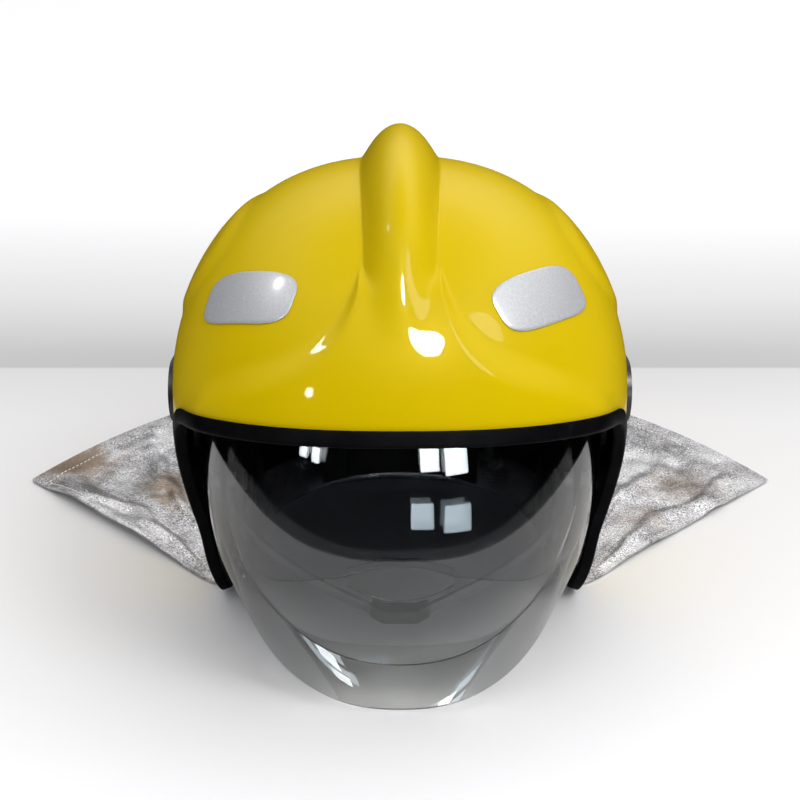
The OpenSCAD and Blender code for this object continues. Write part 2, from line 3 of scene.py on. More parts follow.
import bmesh
import bpy
import numpy as np
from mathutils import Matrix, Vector
from mathutils.noise import fractal


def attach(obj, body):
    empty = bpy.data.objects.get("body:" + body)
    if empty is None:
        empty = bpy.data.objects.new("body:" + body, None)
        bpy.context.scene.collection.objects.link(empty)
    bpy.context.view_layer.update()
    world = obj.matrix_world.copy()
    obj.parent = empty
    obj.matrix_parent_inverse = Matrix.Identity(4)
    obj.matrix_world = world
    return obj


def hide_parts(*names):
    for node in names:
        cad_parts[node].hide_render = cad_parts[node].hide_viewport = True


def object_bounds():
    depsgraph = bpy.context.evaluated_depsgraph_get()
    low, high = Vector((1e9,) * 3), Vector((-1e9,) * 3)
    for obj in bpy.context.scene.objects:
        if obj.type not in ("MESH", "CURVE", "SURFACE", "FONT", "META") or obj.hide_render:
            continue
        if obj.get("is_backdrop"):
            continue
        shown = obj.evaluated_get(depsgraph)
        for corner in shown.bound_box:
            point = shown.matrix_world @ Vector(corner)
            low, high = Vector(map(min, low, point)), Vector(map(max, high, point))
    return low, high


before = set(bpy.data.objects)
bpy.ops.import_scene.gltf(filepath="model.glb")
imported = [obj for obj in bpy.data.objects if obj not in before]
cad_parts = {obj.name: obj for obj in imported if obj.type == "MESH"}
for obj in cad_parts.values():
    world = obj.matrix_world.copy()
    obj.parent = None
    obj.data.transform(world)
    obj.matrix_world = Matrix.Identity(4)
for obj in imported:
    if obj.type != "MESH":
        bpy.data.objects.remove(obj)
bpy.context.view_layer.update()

scene = bpy.context.scene
MM = 0.001

# ---------------------------------------------------------------- the helmet's surfaces
# The CAD's formulas, in millimetres in the head frame (visor pivot at 0, 0, 0), on arrays.

TILT, PIVOT_Y, PIVOT_Z = math.radians(8.5), -67.0, 97.95
SHELL_SIDE, SHELL_FRONT, SHELL_REAR, SHELL_POW, SHELL_WALL = 124.8, 147, 153, 2.35, 3.5
SHELL_TUCK, LOBE_FLARE = 0.094, 0.055  # shares of the width
COMB_HEIGHT, COMB_HALF_FRONT, COMB_HALF = 17, 17.5, 20.7
BROW_HEIGHT, PANEL_HEIGHT = 4.5, 2
CAVITY_SIDE, CAVITY_R, CAVITY_POW = 85, 107, 2.2
VISOR_POW, HUB_RING = 2.4, 18
SHIELD_SIDE, SHIELD_R, SHIELD_WALL, SHIELD_TOP = 108, 139, 2.2, 28.0
LIP_SIDE, LIP_R, LIP_LOW = 98, 160.3, -45.5
OCULAR_SIDE, OCULAR_R, OCULAR_WALL, OCULAR_TOP = 100, 130, 2, 24.0
# Rim stations from the brow round to the nape: bearing and elevation in degrees
RIM = [
    (0, 14.7), (18, 14.3), (36, 13.4), (49, 12.3), (58, 10.6), (64, 4.8), (68.5, -3.5),
    (72.5, -12), (76, -22.5), (80, -34.2), (86, -41.8), (94.5, -41.2), (107, -36.6),
    (125, -30.5), (150, -29.2), (180, -29.1),
]
LINER_RIM = [
    (0, 20), (25, 19.5), (50, 17), (72, 9), (90, 3), (108, 1), (130, -5), (155, -8),
    (180, -8),
]
TURNS = 2 * (len(RIM) - 1)
LINER_SIDE, LINER_R, LINER_GAP = 93.5, 123.5, 4.6
BAND_SIDE, BAND_LONG, BAND_LOW, BAND_HIGH = 76.5, 95.5, 18, 46


def ss(a, b, x):
    """Smooth step from 0 at a to 1 at b."""
    t = np.clip((x - a) / (b - a), 0.0, 1.0)
    return t * t * (3 - 2 * t)


def mix(a, b, t):
    return a + (b - a) * t


def circle(n):
    return np.linspace(0, 2 * math.pi, n, endpoint=False)


def unit(v):
    return v / np.maximum(np.linalg.norm(v, axis=-1, keepdims=True), 1e-12)


def around(p):
    """Degrees about the pivot line: 0 at the face, 90 at the crown, 180 at the nape."""
    t = np.degrees(np.arctan2(p[..., 2], -p[..., 1]))
    return np.where(t < -90, t + 360, t)


def heading(psi, eps):
    a, e = np.radians(psi), np.radians(eps)
    return np.stack([np.sin(a) * np.cos(e), -np.cos(a) * np.cos(e), np.sin(e)], -1)


def reach(d, a, r, p):
    """Distance along d to a rounded body of half width a and radius r."""
    across, turned = np.abs(d[..., 0]) / a, np.hypot(d[..., 1], d[..., 2]) / r
    return (across**p + turned**p) ** (-1 / p)


def tucked(q):
    """The shell narrows below the temples, and its ear lobes flare out again."""
    z = q[..., 2]
    k = 1 - SHELL_TUCK * ss(62, -70, z) + LOBE_FLARE * ss(-45, -95, z)
    return np.stack([q[..., 0] * k, q[..., 1], z], -1)


def comb_at(p, inset):
    th = around(p)
    q = np.abs(p[..., 0]) / (mix(COMB_HALF_FRONT, COMB_HALF, ss(45, 85, th)) - inset)
    rise = COMB_HEIGHT * ss(22, 62, th) * (1 - ss(115, 172, th))
    return rise * np.clip(1 - q * q, 0, None) ** 1.25


def brow_at(p):
    x = np.abs(p[..., 0])
    line = 24 + 21 * (19 / np.maximum(19, x)) ** 1.5
    over = 1 - ss(line - 4.5, line + 4.5, around(p))
    return BROW_HEIGHT * over * (1 - ss(92, 112, x))


def panel_at(p):
    y, z = p[..., 1] - 46, p[..., 2] - 88
    q = np.hypot((-0.99 * y + 0.139 * z) / 90, (0.139 * y + 0.99 * z) / 36)
    return PANEL_HEIGHT * (1 - ss(0.84, 1.04, q))


def relief(p, inset):
    return (comb_at(p, inset) ** 3 + brow_at(p) ** 3 + panel_at(p) ** 3) ** (1 / 3)


def shell_at(psi, eps, off):
    d = heading(psi, eps)
    rr = mix(SHELL_FRONT, SHELL_REAR, ss(90, 170, around(d)))
    p = d * reach(d, SHELL_SIDE, rr, SHELL_POW)[..., None]
    inset = 2.8 if np.max(off) < -1 else 0
    r = reach(d, SHELL_SIDE + off, rr + off, SHELL_POW) + relief(p, inset)
    return tucked(d * r[..., None])


def spline(a, b, c, d, t):
    """Catmull-Rom from b at t = 0 to c at t = 1."""
    return 0.5 * (
        2 * b + (c - a) * t + (2 * a - 5 * b + 4 * c - d) * t * t
        + (3 * b - a - 3 * c + d) * t**3
    )


def curve(stations, t):
    """A spline through the stations of one side, mirrored past both ends."""
    s = np.array(stations, float)
    s = np.vstack([[-s[1, 0], s[1, 1]], s, [360 - s[-2, 0], s[-2, 1]]])
    i = np.clip(np.floor(t).astype(int), 0, len(stations) - 2)
    return spline(*(s[i + k] for k in range(4)), (t - i)[..., None])


def dome_aim(stations, u, v):
    """Bearing and elevation of a square grid that is laid over the dome as far as its rim."""
    p, q = u * np.sqrt(1 - v * v / 2), v * np.sqrt(1 - u * u / 2)
    bearing, share = np.degrees(np.arctan2(p, q)), np.minimum(1, np.hypot(p, q))
    c = curve(stations, np.abs(bearing) / 180 * (len(stations) - 1))
    psi = np.abs(bearing) + (c[..., 0] - np.abs(bearing)) * share**2
    return np.where(bearing < 0, -psi, psi), 90 - (90 - c[..., 1]) * share


def square(n):
    k = np.linspace(-1, 1, 2 * n + 1)
    return np.meshgrid(k, k, indexing="ij")


def rim_aim(t):
    w = np.mod(t, TURNS)
    c = curve(RIM, np.where(w <= TURNS / 2, w, TURNS - w))
    return np.where(w <= TURNS / 2, c[..., 0], -c[..., 0]), c[..., 1]


def rim_frame(t):
    """Point on the rim, outward, and away from the edge, at turn t of TURNS."""
    psi, eps = rim_aim(t)
    p = shell_at(psi, eps, 0.0)
    along = unit(shell_at(*rim_aim(t + 0.05), 0.0) - shell_at(*rim_aim(t - 0.05), 0.0))
    out = unit(np.cross(
        shell_at(psi + 0.5, eps, 0.0) - shell_at(psi - 0.5, eps, 0.0),
        shell_at(psi, eps + 0.5, 0.0) - shell_at(psi, eps - 0.5, 0.0),
    ))
    back = unit(np.cross(out, along))
    return p, unit(np.cross(along, back)), back


def off_rim(f, n, b):
    """Points n outward and b away from the edge of a rim frame."""
    return f[0] + f[1] * n + f[2] * b


def seated(p):
    """Head frame to the row frame, still in millimetres."""
    p = np.asarray(p, float)
    c, s = math.cos(TILT), math.sin(TILT)
    x, y, z = (p[..., k] for k in range(3))
    return np.stack([x, PIVOT_Y + y * c + z * s, PIVOT_Z - y * s + z * c], -1)


def liner_surface(inside):
    psi, eps = dome_aim(LINER_RIM, *square(60))
    d = heading(psi, eps)
    th = around(d)
    if inside:
        r = mix(CAVITY_R, CAVITY_R + 5, ss(100, 170, th))
        return d * reach(d, CAVITY_SIDE, r, CAVITY_POW)[..., None]
    rr = mix(SHELL_FRONT, SHELL_REAR, ss(90, 170, th))
    k = ss(98, 120, th) * ss(28, 46, np.hypot(d[..., 1], d[..., 2]) * 100)
    side, turned = mix(LINER_SIDE, SHELL_SIDE - LINER_GAP, k), mix(LINER_R, rr - LINER_GAP, k)
    r = reach(d, side, turned, SHELL_POW)
    return tucked(d * r[..., None])


def visor_at(a, r, w, th):
    """Point of a visor of half width a and radius r, w across and th degrees round."""
    c = r * np.cos(w) ** (2 / VISOR_POW)
    th = np.radians(th)
    x = np.sign(w) * a * np.abs(np.sin(w)) ** (2 / VISOR_POW)
    return np.stack([x + 0 * th, -c * np.cos(th), c * np.sin(th)], -1)


def edge_turn(r):
    """How far across a visor of radius r reaches its hub ring."""
    return math.acos((HUB_RING / r) ** (VISOR_POW / 2))


def shield_at(w, v, off):
    """Point of the shield: v runs 0 to 1 down to the crease and on to 2 at the lip."""
    main = visor_at(SHIELD_SIDE + off, SHIELD_R + off, w, 0.0 * v)
    crease = np.minimum(-44 + 21 * (main[..., 0] / 82) ** 2, -23.5)
    lip = 1 - ss(84, 94, np.abs(main[..., 0]))
    rho = -main[..., 1]
    end = visor_at(LIP_SIDE + off, LIP_R, w, 0.0 * v)
    top = np.where(v <= 1, mix(SHIELD_TOP, crease, np.minimum(v, 1)), crease)
    low = np.clip(v - 1, 0, 1)
    turn = mix(top, LIP_LOW, low)
    x = mix(main[..., 0], mix(main[..., 0], end[..., 0], low), lip)
    out = mix(rho, mix(rho, -end[..., 1], low), lip)
    thick, a = off * low * lip, np.radians(turn)
    y, z = -out * np.cos(a) - thick * 0.5, out * np.sin(a) + thick * 0.6
    return np.stack([x, y, z], -1)


def ocular_low(x):
    """Degrees round of the eye visor's lower edge, x across."""
    ax = np.abs(x)
    return -13.6 - 5.2 * ss(6, 42, ax) - 20 * (np.maximum(0, ax - 36) / 54) ** 1.4


# ---------------------------------------------------------------- mesh building


def put(name, points, faces, body="helmet", uv=None, groups=None, angle=38):
    """A mesh piece from points in row-frame millimetres. groups gives each face's material."""
    me = bpy.data.meshes.new(name)
    me.from_pydata((np.asarray(points, float) * MM).tolist(), [], [list(f) for f in faces])
    if groups is not None:
        me.polygons.foreach_set("material_index", np.asarray(groups, np.int32))
    bm = bmesh.new()
    bm.from_mesh(me)
    bmesh.ops.recalc_face_normals(bm, faces=bm.faces)
    bm.to_mesh(me)
    bm.free()
    if uv is not None:
        layer = me.uv_layers.new(name="UVMap")
        at = np.zeros(len(me.loops), np.int32)
        me.loops.foreach_get("vertex_index", at)
        layer.data.foreach_set("uv", np.asarray(uv, np.float32)[at].ravel())
    me.polygons.foreach_set("use_smooth", np.ones(len(me.polygons), bool))
    me.set_sharp_from_angle(angle=math.radians(angle))
    me.validate()
    obj = bpy.data.objects.new(name, me)
    scene.collection.objects.link(obj)
    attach(obj, body)
    return obj


def lengths(grid):
    """Distances along a grid's first and second directions, for its UV."""
    du = np.linalg.norm(np.diff(grid, axis=0), axis=-1).mean(1)
    dv = np.linalg.norm(np.diff(grid, axis=1), axis=-1).mean(0)
    u = np.concatenate([[0], np.cumsum(du)]) * MM
    v = np.concatenate([[0], np.cumsum(dv)]) * MM
    return np.stack(np.meshgrid(u, v, indexing="ij"), -1).reshape(-1, 2)


def quads(n, m, start=0, wrap=False):
    rows = n if wrap else n - 1
    i, j = np.meshgrid(np.arange(rows), np.arange(m - 1), indexing="ij")
    k = (i + 1) % n
    f = np.stack([i * m + j, k * m + j, k * m + j + 1, i * m + j + 1], -1)
    return (f.reshape(-1, 4) + start).tolist()


def closed_sheet(name, top, under, body="helmet", groups=False, angle=38):
    """A closed sheet between two matching grids. With groups, the under side is material 1."""
    n, m = top.shape[:2]
    k = n * m
    a, b = quads(n, m), quads(n, m, k)
    ring = (
        [i * m for i in range(n)]
        + [(n - 1) * m + j for j in range(1, m)]
        + [i * m + m - 1 for i in range(n - 2, -1, -1)]
        + list(range(m - 2, 0, -1))
    )
    side = [(p, q, q + k, p + k) for p, q in zip(ring, ring[1:] + ring[:1])]
    kind = [0] * len(a) + [1] * len(b) + [1] * len(side) if groups else None
    points = np.concatenate([top.reshape(-1, 3), under.reshape(-1, 3)])
    uv = lengths(top)
    return put(name, points, a + b + side, body, np.concatenate([uv, uv]), kind, angle)


def swept(name, rings, closed=True, angle=38):
    """Rings of points joined in a row; closed joins the last ring to the first."""
    n, m = rings.shape[:2]
    faces = []
    for i in range(n if closed else n - 1):
        a, b = i * m, (i + 1) % n * m
        faces += [(a + j, b + j, b + (j + 1) % m, a + (j + 1) % m) for j in range(m)]
    if not closed:
        faces += [tuple(range(m)), tuple((n - 1) * m + j for j in range(m))[::-1]]
    return put(name, rings.reshape(-1, 3), faces, angle=angle)


def rounded(poly, r, n=4):
    """A closed outline with its corners rounded."""
    out = []
    poly = [np.array(p, float) for p in poly]
    for i, p in enumerate(poly):
        a, b = poly[i - 1] - p, poly[(i + 1) % len(poly)] - p
        la, lb = np.linalg.norm(a), np.linalg.norm(b)
        k = min(r, la * 0.49, lb * 0.49)
        s, e = p + a / la * k, p + b / lb * k
        for t in np.linspace(0, 1, n + 1):
            out.append((1 - t) ** 2 * s + 2 * t * (1 - t) * p + t * t * e)
    return np.array(out)


def tube(points, radius, n=10, closed=False):
    """Rings round a line of points, for swept()."""
    p = np.asarray(points, float)
    if closed:
        t = unit(np.roll(p, -1, 0) - np.roll(p, 1, 0))
    else:
        t = unit(np.gradient(p, axis=0))
    up = np.array([0.12, 0.2, 0.97])
    a = unit(np.cross(t, up))
    b = np.cross(t, a)
    w = circle(n)
    return p[:, None] + radius * (
        np.cos(w)[None, :, None] * a[:, None] + np.sin(w)[None, :, None] * b[:, None]
    )


def stitched(name, line, normal, pitch, length, radius, paint, body="helmet"):
    """Separate stitches laid along a line, each a small rounded bar pressed into the cloth."""
    line, normal = np.asarray(line, float), np.asarray(normal, float)
    d = np.concatenate([[0], np.cumsum(np.linalg.norm(np.diff(line, axis=0), axis=1))])
    at = np.arange(pitch / 2, d[-1], pitch)
    mid = np.stack([np.interp(at, d, line[:, k]) for k in range(3)], -1)
    nor = unit(np.stack([np.interp(at, d, normal[:, k]) for k in range(3)], -1))
    ahead = np.stack([np.interp(at + 0.4, d, line[:, k]) for k in range(3)], -1)
    behind = np.stack([np.interp(at - 0.4, d, line[:, k]) for k in range(3)], -1)
    t = unit(ahead - behind)
    side = np.cross(t, nor)
    points, faces = [], []
    shape = [(-0.5, 0.35), (-0.34, 0.9), (0, 1.0), (0.34, 0.9), (0.5, 0.35)]
    w = circle(6)
    for c, tt, nn, s in zip(mid, t, nor, side):
        k = len(points)
        for x, r in shape:
            for q in w:
                points.append(
                    c + tt * x * length + radius * r * (nn * math.sin(q) + s * math.cos(q))
                )
        for i in range(4):
            for j in range(6):
                a, b = k + i * 6 + j, k + i * 6 + (j + 1) % 6
                faces.append((a, b, b + 6, a + 6))
        faces += [tuple(range(k, k + 6))[::-1], tuple(range(k + 24, k + 30))]
    obj = put(name, points, faces, body)
    wear(obj, paint)
    return obj


def lathe(name, parts, profile, seg=40):
    """Turned parts from (centre, axis) pairs and a profile of (distance, radius) pairs."""
    points, faces = [], []
    w = circle(seg)
    for centre, axis in parts:
        ax = unit(np.asarray(axis, float))
        a = unit(np.cross(ax, [0.3, 0.1, 0.95]))
        b = np.cross(ax, a)
        k = len(points)
        for h, r in profile:
            for q in w:
                points.append(
                    np.asarray(centre) + ax * h + r * (a * math.cos(q) + b * math.sin(q))
                )
        for i in range(len(profile) - 1):
            for j in range(seg):
                p, q = k + i * seg + j, k + i * seg + (j + 1) % seg
                faces.append((p, q, q + seg, p + seg))
        faces += [
            tuple(range(k, k + seg))[::-1],
            tuple(range(k + (len(profile) - 1) * seg, k + len(profile) * seg)),
        ]
    return put(name, points, faces, angle=32)


def ring_band(name, a, b, thick, z0, z1, start, end, n, bulge=0.0, seams=0):
    """An oval band of rounded section in the head frame; bulge crowns its inner side."""
    w = np.radians(np.linspace(start, end, n))
    section = rounded([(0, z0), (0, z1), (-thick, z1), (-thick, z0)], min(thick, 3) * 0.45)
    mid, half = (z0 + z1) / 2, (z1 - z0) / 2
    rings = []
    for i, t in enumerate(w):
        dip = 1.0
        if seams:
            phase = i / (n - 1) * seams
            dip = 1 - 0.75 * math.exp(-((abs(phase - round(phase)) / 0.09) ** 2))
        ring = []
        for s, z in section:
            k = max(0.0, 1 - ((z - mid) / half) ** 2)
            s -= bulge * k * dip * (-s / thick)
            ring.append(((a + s) * math.sin(t), -(b + s) * math.cos(t), z))
        rings.append(ring)
    return swept(name, seated(np.array(rings)), closed=False)


def taken_mesh(obj):
    """The mesh of obj with its modifiers applied, as its own mesh."""
    dg = bpy.context.evaluated_depsgraph_get()
    made = bpy.data.meshes.new_from_object(obj.evaluated_get(dg), depsgraph=dg)
    obj.modifiers.clear()
    obj.data = made
    return made


def puffed(obj, voxel, cap):
    """Swells a stuffed form: remeshed, blown up a little as cloth, capped, then smoothed."""
    m = obj.modifiers.new("Remesh", "REMESH")
    m.mode, m.voxel_size, m.use_smooth_shade = "VOXEL", voxel * MM, True
    me = taken_mesh(obj)
    rest = np.zeros(len(me.vertices) * 3)
    me.vertices.foreach_get("co", rest)
    cloth = obj.modifiers.new("Cloth", "CLOTH")
    s = cloth.settings
    s.quality, s.mass, s.use_pressure, s.uniform_pressure_force = 5, 0.2, True, 4
    s.tension_stiffness = s.compression_stiffness = 8
    s.shear_stiffness, s.bending_stiffness = 5, 0.5
    s.effector_weights.gravity = 0
    cloth.collision_settings.use_collision = False
    for f in range(1, 21):
        scene.frame_set(f)
    me = taken_mesh(obj)
    scene.frame_set(1)
    now = np.zeros(len(rest))
    me.vertices.foreach_get("co", now)
    step = (now - rest).reshape(-1, 3)
    far = np.linalg.norm(step, axis=1, keepdims=True)
    step *= np.minimum(1, cap * MM / np.maximum(far, 1e-9))
    me.vertices.foreach_set("co", (rest.reshape(-1, 3) + step).ravel())
    me.update()
    me.polygons.foreach_set("use_smooth", np.ones(len(me.polygons), bool))
    sub = obj.modifiers.new("Smooth", "SUBSURF")
    sub.levels = sub.render_levels = 1
    return obj


# ---------------------------------------------------------------- materials


class Nodes:
    """Short forms for building self.nt, a node tree."""

    def new(self, kind, **values):
        n = self.nt.nodes.new(kind)
        for k, v in values.items():
            setattr(n, k, v)
        return n

    def link(self, a, b):
        self.nt.links.new(a, b)

    def feed(self, socket, v):
        """Sets a socket to a number or colour, or links another socket to it."""
        if isinstance(v, tuple):
            socket.default_value = (*v, 1)
        elif isinstance(v, (int, float)):
            socket.default_value = v
        else:
            self.link(v, socket)

    def math(self, op, *values):
        n = self.new("ShaderNodeMath", operation=op)
        for k, v in enumerate(values):
            self.feed(n.inputs[k], v)
        return n.outputs[0]

    def blend(self, fac, a, b, kind="MIX"):
        n = self.new("ShaderNodeMix", data_type="RGBA", blend_type=kind)
        for k, v in ((0, fac), (6, a), (7, b)):
            self.feed(n.inputs[k], v)
        return n.outputs[2]

    def ranged(self, value, **limits):
        n = self.new("ShaderNodeMapRange")
        for k, v in limits.items():
            n.inputs[k.replace("_", " ").title()].default_value = v
        self.link(value, n.inputs["Value"])
        return n.outputs["Result"]

    def shaders(self, fac, a, b):
        n = self.new("ShaderNodeMixShader")
        for k, v in enumerate((fac, a, b)):
            self.link(v, n.inputs[k])
        self.link(n.outputs[0], self.nt.nodes["Material Output"].inputs["Surface"])


class Paint(Nodes):
    """A Principled material with a few procedural layers."""

    def __init__(self, name, colour, rough, **more):
        self.m = bpy.data.materials.new(name)
        self.m.use_nodes = True
        self.nt = self.m.node_tree
        self.bsdf = self.nt.nodes["Principled BSDF"]
        self.set("Base Color", (*colour, 1))
        self.set("Roughness", rough)
        for k, v in more.items():
            self.set(k.replace("_", " "), v)
        self.coord = self.new("ShaderNodeTexCoord")
        self.height = None

    def set(self, socket, value):
        self.bsdf.inputs[socket].default_value = value

    def noise(self, scale, detail=3.0, stretch=None, rough=0.55):
        n = self.new("ShaderNodeTexNoise")
        n.inputs["Scale"].default_value = scale
        n.inputs["Detail"].default_value = detail
        n.inputs["Roughness"].default_value = rough
        self.link(self.placed(stretch), n.inputs["Vector"])
        return n.outputs["Fac"]

    def placed(self, stretch=None):
        """The piece's own metres, stretched."""
        if stretch is None:
            return self.coord.outputs["Object"]
        m = self.new("ShaderNodeMapping")
        m.inputs["Scale"].default_value = stretch
        self.link(self.coord.outputs["Object"], m.inputs["Vector"])
        return m.outputs["Vector"]

    def wave(self, scale, direction):
        n = self.new("ShaderNodeTexWave")
        n.bands_direction = direction
        n.inputs["Scale"].default_value = scale
        self.link(self.coord.outputs["UV"], n.inputs["Vector"])
        return n.outputs["Fac"]

    def cells(self, scale, feature="F1"):
        n = self.new("ShaderNodeTexVoronoi", feature=feature)
        n.inputs["Scale"].default_value = scale
        self.link(self.coord.outputs["Object"], n.inputs["Vector"])
        return n.outputs["Distance"]

    def ramp(self, fac, stops):
        n = self.new("ShaderNodeValToRGB")
        e = n.color_ramp.elements
        while len(e) < len(stops):
            e.new(0.5)
        for k, (at, c) in enumerate(stops):
            e[k].position = at
            e[k].color = (*c, 1) if len(c) == 3 else c
        self.link(fac, n.inputs["Fac"])
        return n.outputs["Color"]

    def colour(self, fac, stops):
        self.link(self.ramp(fac, stops), self.bsdf.inputs["Base Color"])
        return self

    def mottled(self, scale, detail, *stops):
        """Blotches of noise in these colours."""
        return self.colour(self.noise(scale, detail), stops)

    def rough(self, fac, low, high):
        self.link(self.ranged(fac, to_min=low, to_max=high), self.bsdf.inputs["Roughness"])
        return self

    def bump(self, fac, distance, strength=1.0):
        n = self.new("ShaderNodeBump")
        n.inputs["Strength"].default_value = strength
        n.inputs["Distance"].default_value = distance * MM
        self.link(fac, n.inputs["Height"])
        if self.height is not None:
            self.link(self.height, n.inputs["Normal"])
        self.height = n.outputs["Normal"]
        self.link(self.height, self.bsdf.inputs["Normal"])
        return self

    def coat_bump(self, fac, distance):
        n = self.new("ShaderNodeBump")
        n.inputs["Distance"].default_value = distance * MM
        self.link(fac, n.inputs["Height"])
        self.link(n.outputs["Normal"], self.bsdf.inputs["Coat Normal"])
        return self


def glass(name, colour, rough, ior, lets_through, wavy, depth):
    """Clear plastic; shadow rays get this share of the lamps' light through each face."""
    p = Paint(name, colour, rough, Transmission_Weight=1.0, IOR=ior)
    through = p.new("ShaderNodeBsdfTransparent")
    through.inputs["Color"].default_value = (*[lets_through] * 3, 1)
    path = p.new("ShaderNodeLightPath")
    p.shaders(path.outputs["Is Shadow Ray"], p.bsdf.outputs[0], through.outputs[0])
    return p.bump(p.noise(*wavy), depth)


yellow = Paint(
    "Yellow gelcoat", (0.69, 0.495, 0.0), 0.32,
    Coat_Weight=0.28, Coat_Roughness=0.03, Coat_IOR=1.42, Specular_IOR_Level=0.1,
    Specular_Tint=(1, 0.75, 0.1, 1),
)
yellow.mottled(9, 2.0, (0.3, (0.67, 0.48, 0.0)), (0.7, (0.7, 0.505, 0.0)))
yellow.rough(yellow.noise(60, 4.0), 0.28, 0.4)
yellow.bump(yellow.noise(420, 2.0), 0.012)
yellow.coat_bump(yellow.noise(150, 2.0), 0.006)

inner_black_and_painted_reflection = Paint(
    "Shell inside, dark resin with painted reflection", (0.006, 0.005, 0.005), 0.4, Specular_IOR_Level=0.25
)
# Near-black inside, with orange-brown streaks painted in as reflections of the yellow shell
inner_black_and_painted_reflection.colour(
    inner_black_and_painted_reflection.noise(14, 3.0, stretch=(1.6, 1.6, 0.22)),
    [
        (0.5, (0.004, 0.0035, 0.0035)), (0.62, (0.02, 0.008, 0.002)),
        (0.72, (0.1, 0.034, 0.004)),
    ],
)
inner_black_and_painted_reflection.bump(inner_black_and_painted_reflection.noise(240, 3.0), 0.1)

rubber = Paint("Black rubber trim", (0.003, 0.003, 0.0035), 0.4, Specular_IOR_Level=0.03)
rubber.mottled(
    70, 5.0, (0.35, (0.002, 0.002, 0.0025)), (0.62, (0.004, 0.004, 0.005)),
    (0.8, (0.011, 0.011, 0.011)),
)
rubber.rough(rubber.noise(160, 4.0), 0.34, 0.55)
rubber.bump(rubber.noise(1300, 3.0), 0.05)

film = Paint(
    "Reflective film", (0.56, 0.57, 0.59), 0.36,
    Metallic=0.2, Coat_Weight=0.6, Coat_Roughness=0.12,
)
_cell = film.cells(430, "DISTANCE_TO_EDGE")
film.colour(
    film.math("MULTIPLY", film.math("LESS_THAN", _cell, 0.06), 0.8),
    [(0.0, (0.52, 0.53, 0.55)), (1.0, (0.6, 0.61, 0.63))],
)
film.rough(film.noise(900, 2.0), 0.26, 0.46)
film.bump(_cell, 0.015)

plastic = Paint("Black moulded plastic", (0.016, 0.016, 0.017), 0.38)
plastic.mottled(90, 4.0, (0.35, (0.011, 0.011, 0.012)), (0.75, (0.026, 0.026, 0.027)))
plastic.rough(plastic.noise(220, 3.0), 0.28, 0.46)
plastic.bump(plastic.cells(1500), 0.04)

grey_plastic = Paint("Dark grey nylon", (0.018, 0.018, 0.02), 0.42, Specular_IOR_Level=0.25)
grey_plastic.mottled(80, 4.0, (0.3, (0.012, 0.012, 0.013)), (0.75, (0.024, 0.024, 0.026)))
grey_plastic.bump(grey_plastic.noise(1100, 2.0), 0.03)

steel = Paint("Brushed steel", (0.56, 0.57, 0.58), 0.28, Metallic=1.0)
steel.mottled(140, 3.0, (0.3, (0.5, 0.51, 0.52)), (0.75, (0.64, 0.65, 0.66)))
steel.rough(steel.noise(500, 4.0, stretch=(1, 1, 9)), 0.2, 0.4)
steel.bump(steel.noise(700, 2.0, stretch=(1, 1, 12)), 0.012)

foam = Paint("Moulded foam", (0.005, 0.005, 0.005), 0.9, Specular_IOR_Level=0.1)
foam.colour(foam.cells(520), [(0.0, (0.009, 0.009, 0.0095)), (0.55, (0.003, 0.003, 0.0032))])
foam.bump(foam.cells(520), 0.35, 0.7)
foam.bump(foam.noise(70, 4.0), 0.5, 0.5)

fabric = Paint(
    "Pad mesh fabric", (0.01, 0.01, 0.011), 0.85,
    Sheen_Weight=0.15, Sheen_Roughness=0.4, Specular_IOR_Level=0.2,
)
fabric.colour(
    fabric.cells(780), [(0.0, (0.003, 0.003, 0.004)), (0.5, (0.014, 0.014, 0.015))]
)
fabric.bump(fabric.cells(780), 0.3)
fabric.bump(fabric.noise(45, 3.0), 0.6, 0.5)


def woven(name, colour, rough, gap, crest):
    p = Paint(name, colour, rough, Sheen_Weight=0.25)
    weave = p.math("MULTIPLY", p.wave(310, "X"), p.wave(170, "Y"))
    p.colour(weave, [(0.05, gap), (0.8, crest)])
    return p.bump(weave, 0.28)


webbing = woven(
    "Grey webbing", (0.14, 0.145, 0.15), 0.72, (0.09, 0.094, 0.1), (0.2, 0.205, 0.212)
)
webbing.bump(webbing.noise(1500, 2.0), 0.06)
dark_webbing = woven(
    "Black webbing", (0.03, 0.03, 0.032), 0.75, (0.014, 0.014, 0.016), (0.05, 0.05, 0.054)
)

leather = Paint("Brown leather", (0.04, 0.02, 0.01), 0.55, Specular_IOR_Level=0.25)
leather.mottled(55, 5.0, (0.3, (0.022, 0.011, 0.006)), (0.75, (0.055, 0.028, 0.014)))
leather.rough(leather.noise(90, 4.0), 0.42, 0.66)
leather.bump(leather.cells(620, "DISTANCE_TO_EDGE"), 0.22)

thread = Paint("Grey thread", (0.36, 0.36, 0.35), 0.7, Sheen_Weight=0.4)
thread.mottled(1600, 2.0, (0.3, (0.24, 0.24, 0.23)), (0.7, (0.46, 0.46, 0.45)))
thread.bump(thread.noise(3000, 1.0), 0.05)

silver = Paint("Aluminised fabric", (0.6, 0.6, 0.59), 0.36, Metallic=0.92)
# Fine weave grain, plus broader blotches painted in as the shade and highlights of folds
_grain_and_painted_shading = silver.math(
    "MULTIPLY_ADD", silver.noise(900, 2.0, rough=0.7), 0.62,
    silver.math("MULTIPLY", silver.noise(40, 4.0), 0.43),
)
_tone = silver.ramp(
    _grain_and_painted_shading,
    [(0.4, (0.22, 0.215, 0.22)), (0.52, (0.76, 0.75, 0.76)), (0.62, (1.0, 0.99, 1.0))],
)
_breakup = silver.noise(90, 4.0, rough=0.7)
SPOT_EDGE = 0.06  # metres by which noise breaks up the edge of a painted reflection spot
